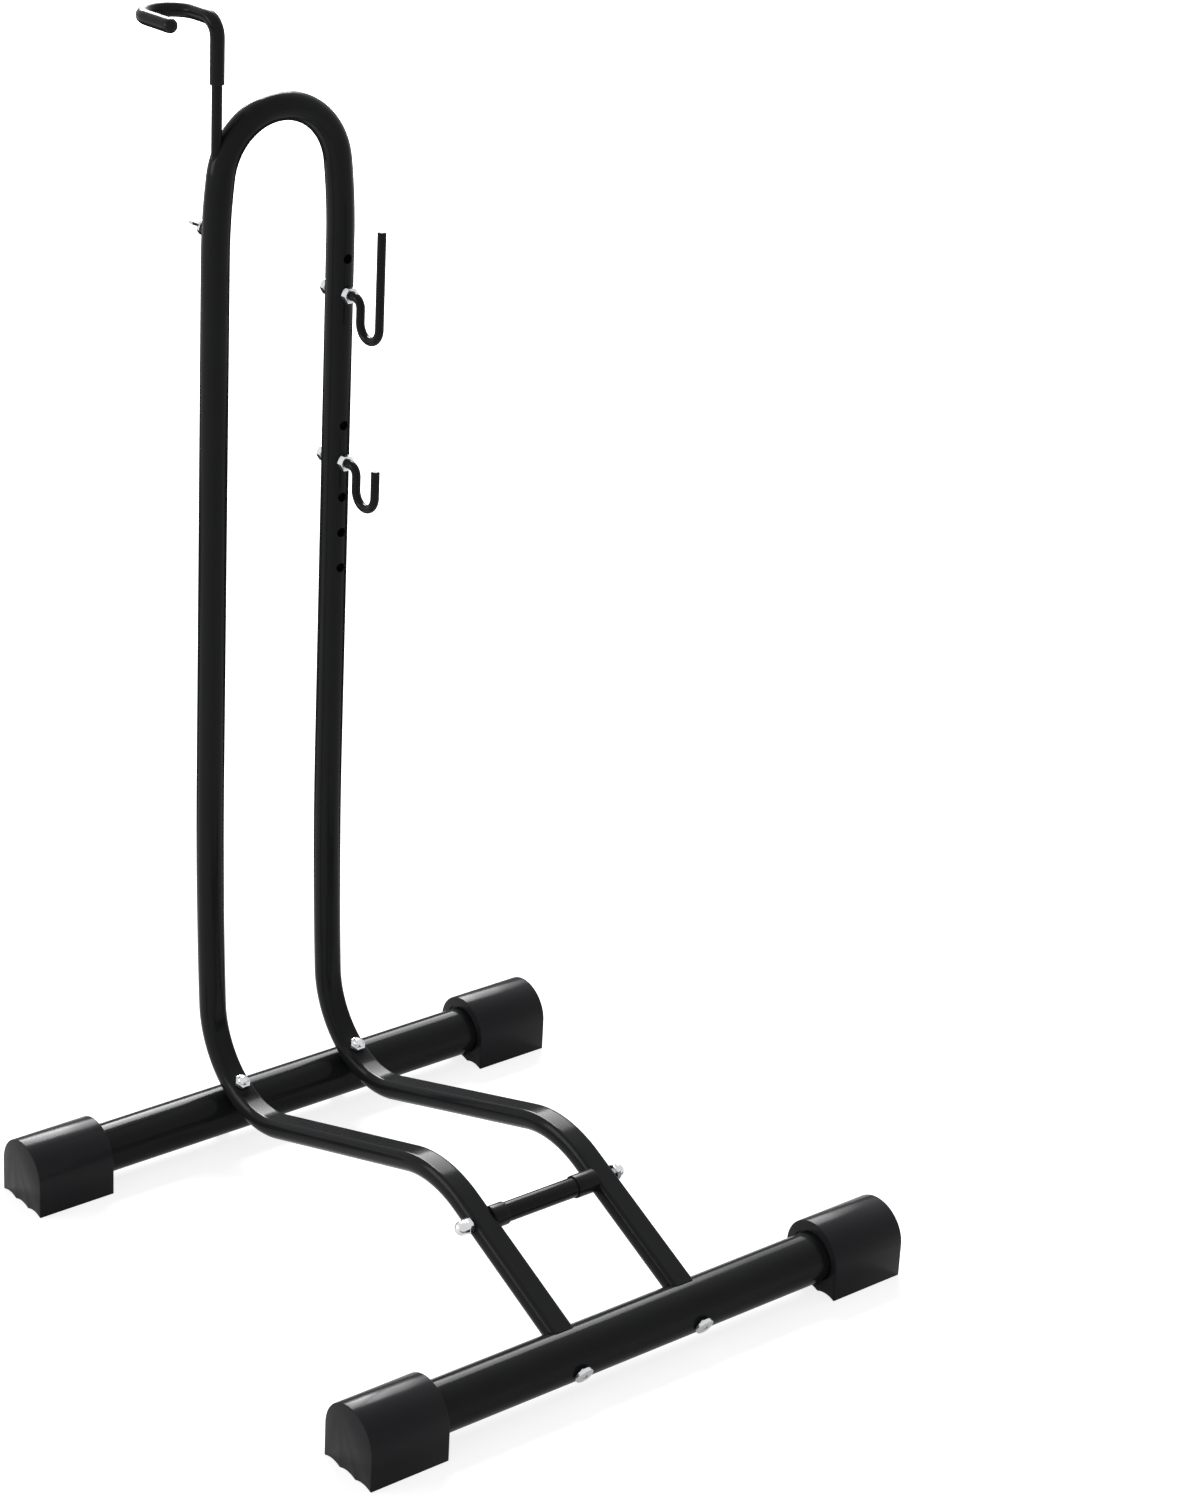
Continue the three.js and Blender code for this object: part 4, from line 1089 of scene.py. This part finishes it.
def rod_cover():
    stops = arm_route(COVER_BOTTOM_HEIGHT, 0).stops
    girths = [COVER_RADIUS] * len(stops)
    centre, along, upper = stops[-1]
    for angle in (math.radians(a) for a in range(COVER_TIP_STEP, 90, COVER_TIP_STEP)):
        stops.append((centre + along * (COVER_RADIUS * math.sin(angle)), along, upper))
        girths.append(COVER_RADIUS * math.cos(angle))
    stops.append((centre + along * (COVER_RADIUS * COVER_TIP_SHARE), along, upper))
    girths.append(COVER_TIP_RADIUS)
    made = grown("vinyl_rod_cover", path_mesh(stops, girths), bent_tube, Sides=COVER_SIDES, Material=vinyl)
    rounded(tidy(made), COVER_ROUNDING, segments=4, angle=60)
    bore_stops = arm_route(COVER_BOTTOM_HEIGHT - OVERRUN, 0).stops
    bore = grown("bore", path_mesh(bore_stops, ROD_RADIUS + GAP), bent_tube, Sides=WIRE_SIDES, Material=vinyl)
    combine(tidy(made), tidy(bore))
    return settle(tidy(made), vinyl, "top_hook", "rod_cover")


sliding_rod()
rod_cover()


# Clamp: the welded boss behind the left leg and the wing screw in it

clamp_x = left_leg_x(CLAMP_HEIGHT)
boss_face_y = leg_y + TUBE_RADIUS + BOSS_RISE


def towards_back(made, y):
    """Stands a turned piece on its foot behind the left leg, its axis to the back."""
    made.data.transform(Matrix.Translation((clamp_x, y, CLAMP_HEIGHT)) @ Matrix.Rotation(-math.pi / 2, 4, "X"))
    return made


def clamp_boss():
    depth = boss_face_y - leg_y
    edge = arc((BOSS_RADIUS - BOSS_EDGE, depth - BOSS_EDGE), BOSS_EDGE, 0, 90, 4)
    profile = [(0, 0), (BOSS_RADIUS, 0), *edge, (0, depth)]
    made = towards_back(turned("welded_boss", profile, BOSS_SIDES), leg_y)
    leg = Vector((clamp_x, leg_y, CLAMP_HEIGHT))
    drill(
        made,
        (TUBE_RADIUS + GAP, leg - Z_AXIS * BOSS_SADDLE_REACH, leg + Z_AXIS * BOSS_SADDLE_REACH),
        (BOLT_RADIUS + GAP, leg, leg + Y_AXIS * BOSS_BORE_REACH),
    )
    return settle(tidy(made), coat, "stand", "clamp_boss")


def wing_outline():
    """Both wings in one outline: x across and y up the hub."""
    low, high, steps = WING_TIP_FROM, WING_TIP_TO, WING_TIP_STEPS
    points = [(0, WING_ROOT_LOW)]
    for i in range(steps + 1):
        a = low + (high - low) * i / steps
        points.append((WING_TIP_REACH + WING_TIP_RADIUS * math.cos(a), WING_TIP_RISE + WING_TIP_RADIUS * math.sin(a)))
    points.append((0, WING_ROOT_HIGH))
    for i in range(steps + 1):
        a = math.pi - high + (high - low) * i / steps
        points.append((-WING_TIP_REACH + WING_TIP_RADIUS * math.cos(a), WING_TIP_RISE + WING_TIP_RADIUS * math.sin(a)))
    return points


def wing_screw():
    shank = boss_face_y + GAP - (leg_y + ROD_RADIUS + GAP)
    hub = turned(
        "cast_wing_screw",
        [
            (0, -shank),
            (BOLT_RADIUS - THREAD_CHAMFER, -shank),
            (BOLT_RADIUS, THREAD_CHAMFER - shank),
            (BOLT_RADIUS, 0),
            *arc((HUB_RADIUS - HUB_FOOT_EDGE, HUB_FOOT_EDGE), HUB_FOOT_EDGE, -90, 0),
            *arc((HUB_RADIUS - HUB_TOP_EDGE, HUB_LENGTH - HUB_TOP_EDGE), HUB_TOP_EDGE, 0, 90),
            (0, HUB_LENGTH),
        ],
        HUB_SIDES,
    )
    wings = extruded("wings", wing_outline(), WING_THICKNESS)
    rounded(wings, WING_EDGE, segments=3, angle=50)
    wings.data.transform(Matrix.Rotation(math.pi / 2, 4, "X") @ Matrix.Translation((0, 0, -WING_THICKNESS / 2)))
    combine(hub, tidy(wings), "UNION")
    hub.data.transform(Matrix.Rotation(WING_TURN, 4, "Z"))
    return settle(tidy(towards_back(hub, boss_face_y + GAP), FINE_CREASE), zinc, "wing_screw", "wing_screw")


clamp_boss()
wing_screw()


# Floor, lights and world

# Metres, and strengths of plain white light
FLOOR_REACH = 9
FLOOR_GLOW_SEEN = 0.8
FLOOR_GLOW_MIRRORED = 0.45
WORLD_SEEN = 1.0
WORLD_LIGHT = 0.35
LAMP_AIM_HEIGHT = 0.2
SHADE_SHEET_LIFT = 0.002


def seen_directly(tree):
    """One where the camera sees it, straight or mirrored. Zero where it only lights the object."""
    rays = add(tree, "ShaderNodeLightPath")
    mirrored = add(tree, "ShaderNodeMath", {0: rays.outputs["Is Glossy Ray"], 1: rays.outputs["Is Transmission Ray"]})
    direct = add(tree, "ShaderNodeMath", {0: rays.outputs["Is Camera Ray"], 1: mirrored.outputs[0]}, use_clamp=True)
    return direct.outputs[0]


def white_floor():
    """A pale studio floor that fades into the white background and keeps a faint shadow of the stand."""
    mesh = bpy.data.meshes.new("studio_floor")
    corners = [(x * FLOOR_REACH, y * FLOOR_REACH, 0) for x, y in ((-1, -1), (1, -1), (1, 1), (-1, 1))]
    mesh.from_pydata(corners, [], [(0, 1, 2, 3)])
    floor = linked("studio_floor", mesh)
    material, tree, _, output = new_material("white_studio_floor")
    shader = add(
        tree, "ShaderNodeBsdfPrincipled", {"Base Color": colour("#c0c0c0"), "Roughness": 0.9, "Specular IOR Level": 0.1}
    )
    seen = add(tree, "ShaderNodeLightPath").outputs["Is Camera Ray"]
    glows = {"Value": seen, "To Min": FLOOR_GLOW_MIRRORED, "To Max": FLOOR_GLOW_SEEN}
    strength = add(tree, "ShaderNodeMapRange", glows).outputs[0]
    glow = add(tree, "ShaderNodeEmission", {"Color": (1, 1, 1, 1), "Strength": strength})
    white = add(tree, "ShaderNodeAddShader", {0: shader.outputs[0], 1: glow.outputs[0]})
    mixed = add(tree, "ShaderNodeMixShader", {0: seen_directly(tree), 1: shader.outputs[0], 2: white.outputs[0]})
    tree.links.new(mixed.outputs[0], output.inputs[0])
    mesh.materials.append(material)


def lamp(name, width, height, power, middle, away):
    """A rectangular lamp around its middle, that shines against the direction away."""
    data = bpy.data.lights.new(name, "AREA")
    data.shape = "RECTANGLE"
    data.size = width
    data.size_y = height
    data.energy = power
    light = linked(name, data)
    light.matrix_world = Matrix.Translation(middle) @ away.to_track_quat("Z", "Y").to_matrix().to_4x4()


def softbox(name, rise, distance, left, right, height, power):
    """A lamp behind the stand, parallel to the crossbars: its slope as seen from the front, then its two ends."""
    away = slope(math.radians(rise))
    middle = Vector(((left + right) / 2, 0, LAMP_AIM_HEIGHT)) + away * distance
    lamp(name, right - left, height, power, middle, away)


def side_softbox(name, azimuth, elevation, distance, width, height, power):
    """A lamp that faces the stand, from a bearing clockwise of straight behind it."""
    away = slope(math.radians(elevation))
    away.rotate(Matrix.Rotation(-math.radians(azimuth), 3, "Z"))
    lamp(name, width, height, power, Vector((0, 0, LAMP_AIM_HEIGHT)) + away * distance, away)


def reflection_shade_sheet(azimuth, near, far, width, top):
    """A black sheet on the floor and up behind the stand, seen only in reflections: painted shade on glancing rims."""
    mesh = bpy.data.meshes.new("rear_black_cloth")
    half = width / 2
    rows = [(near, SHADE_SHEET_LIFT), (far, SHADE_SHEET_LIFT), (far, top)]
    points = [(side * half, y, z) for y, z in rows for side in BOTH_SIDES]
    mesh.from_pydata(points, [], [(0, 1, 3, 2), (2, 3, 5, 4)])
    mesh.transform(Matrix.Rotation(-math.radians(azimuth), 4, "Z"))
    shade_sheet = linked("rear_black_cloth", mesh)
    material, tree, _, output = new_material("reflection_shade_sheet")
    shader = add(tree, "ShaderNodeBsdfDiffuse", {"Color": colour("#0a0a0a")})
    tree.links.new(shader.outputs[0], output.inputs[0])
    mesh.materials.append(material)
    # Only glossy rays see the sheet, so it paints dark reflections and neither shades nor hides anything
    for ray in ("camera", "diffuse", "shadow", "transmission", "volume_scatter"):
        setattr(shade_sheet, f"visible_{ray}", False)


def studio_world():
    """White behind the stand, a soft grey for its light."""
    world = bpy.data.worlds.new("studio")
    world.use_nodes = True
    tree = world.node_tree
    tree.nodes.clear()
    white = add(tree, "ShaderNodeBackground", {"Color": (1, 1, 1, 1), "Strength": WORLD_SEEN})
    grey = add(tree, "ShaderNodeBackground", {"Color": (1, 1, 1, 1), "Strength": WORLD_LIGHT})
    mixed = add(tree, "ShaderNodeMixShader", {0: seen_directly(tree), 1: grey.outputs[0], 2: white.outputs[0]})
    output = add(tree, "ShaderNodeOutputWorld")
    tree.links.new(mixed.outputs[0], output.inputs[0])
    bpy.context.scene.world = world


white_floor()
studio_world()
softbox("key_softbox", rise=39.5, distance=5.5, left=1.3, right=3.03, height=3.7, power=560)
softbox("key_edge", rise=39.5, distance=5.5, left=3.03, right=4.2, height=3.7, power=164)
softbox("key_tail", rise=36, distance=5.5, left=4.2, right=5.2, height=3, power=30)
side_softbox("fill_softbox", azimuth=-62, elevation=17, distance=5, width=2.5, height=2, power=90)
# A black sheet that only reflections see: painted shade on the glancing rims of the tubes and feet
reflection_shade_sheet(azimuth=34, near=0.45, far=4.2, width=2.8, top=1)

bpy.context.scene.view_settings.view_transform = "Standard"
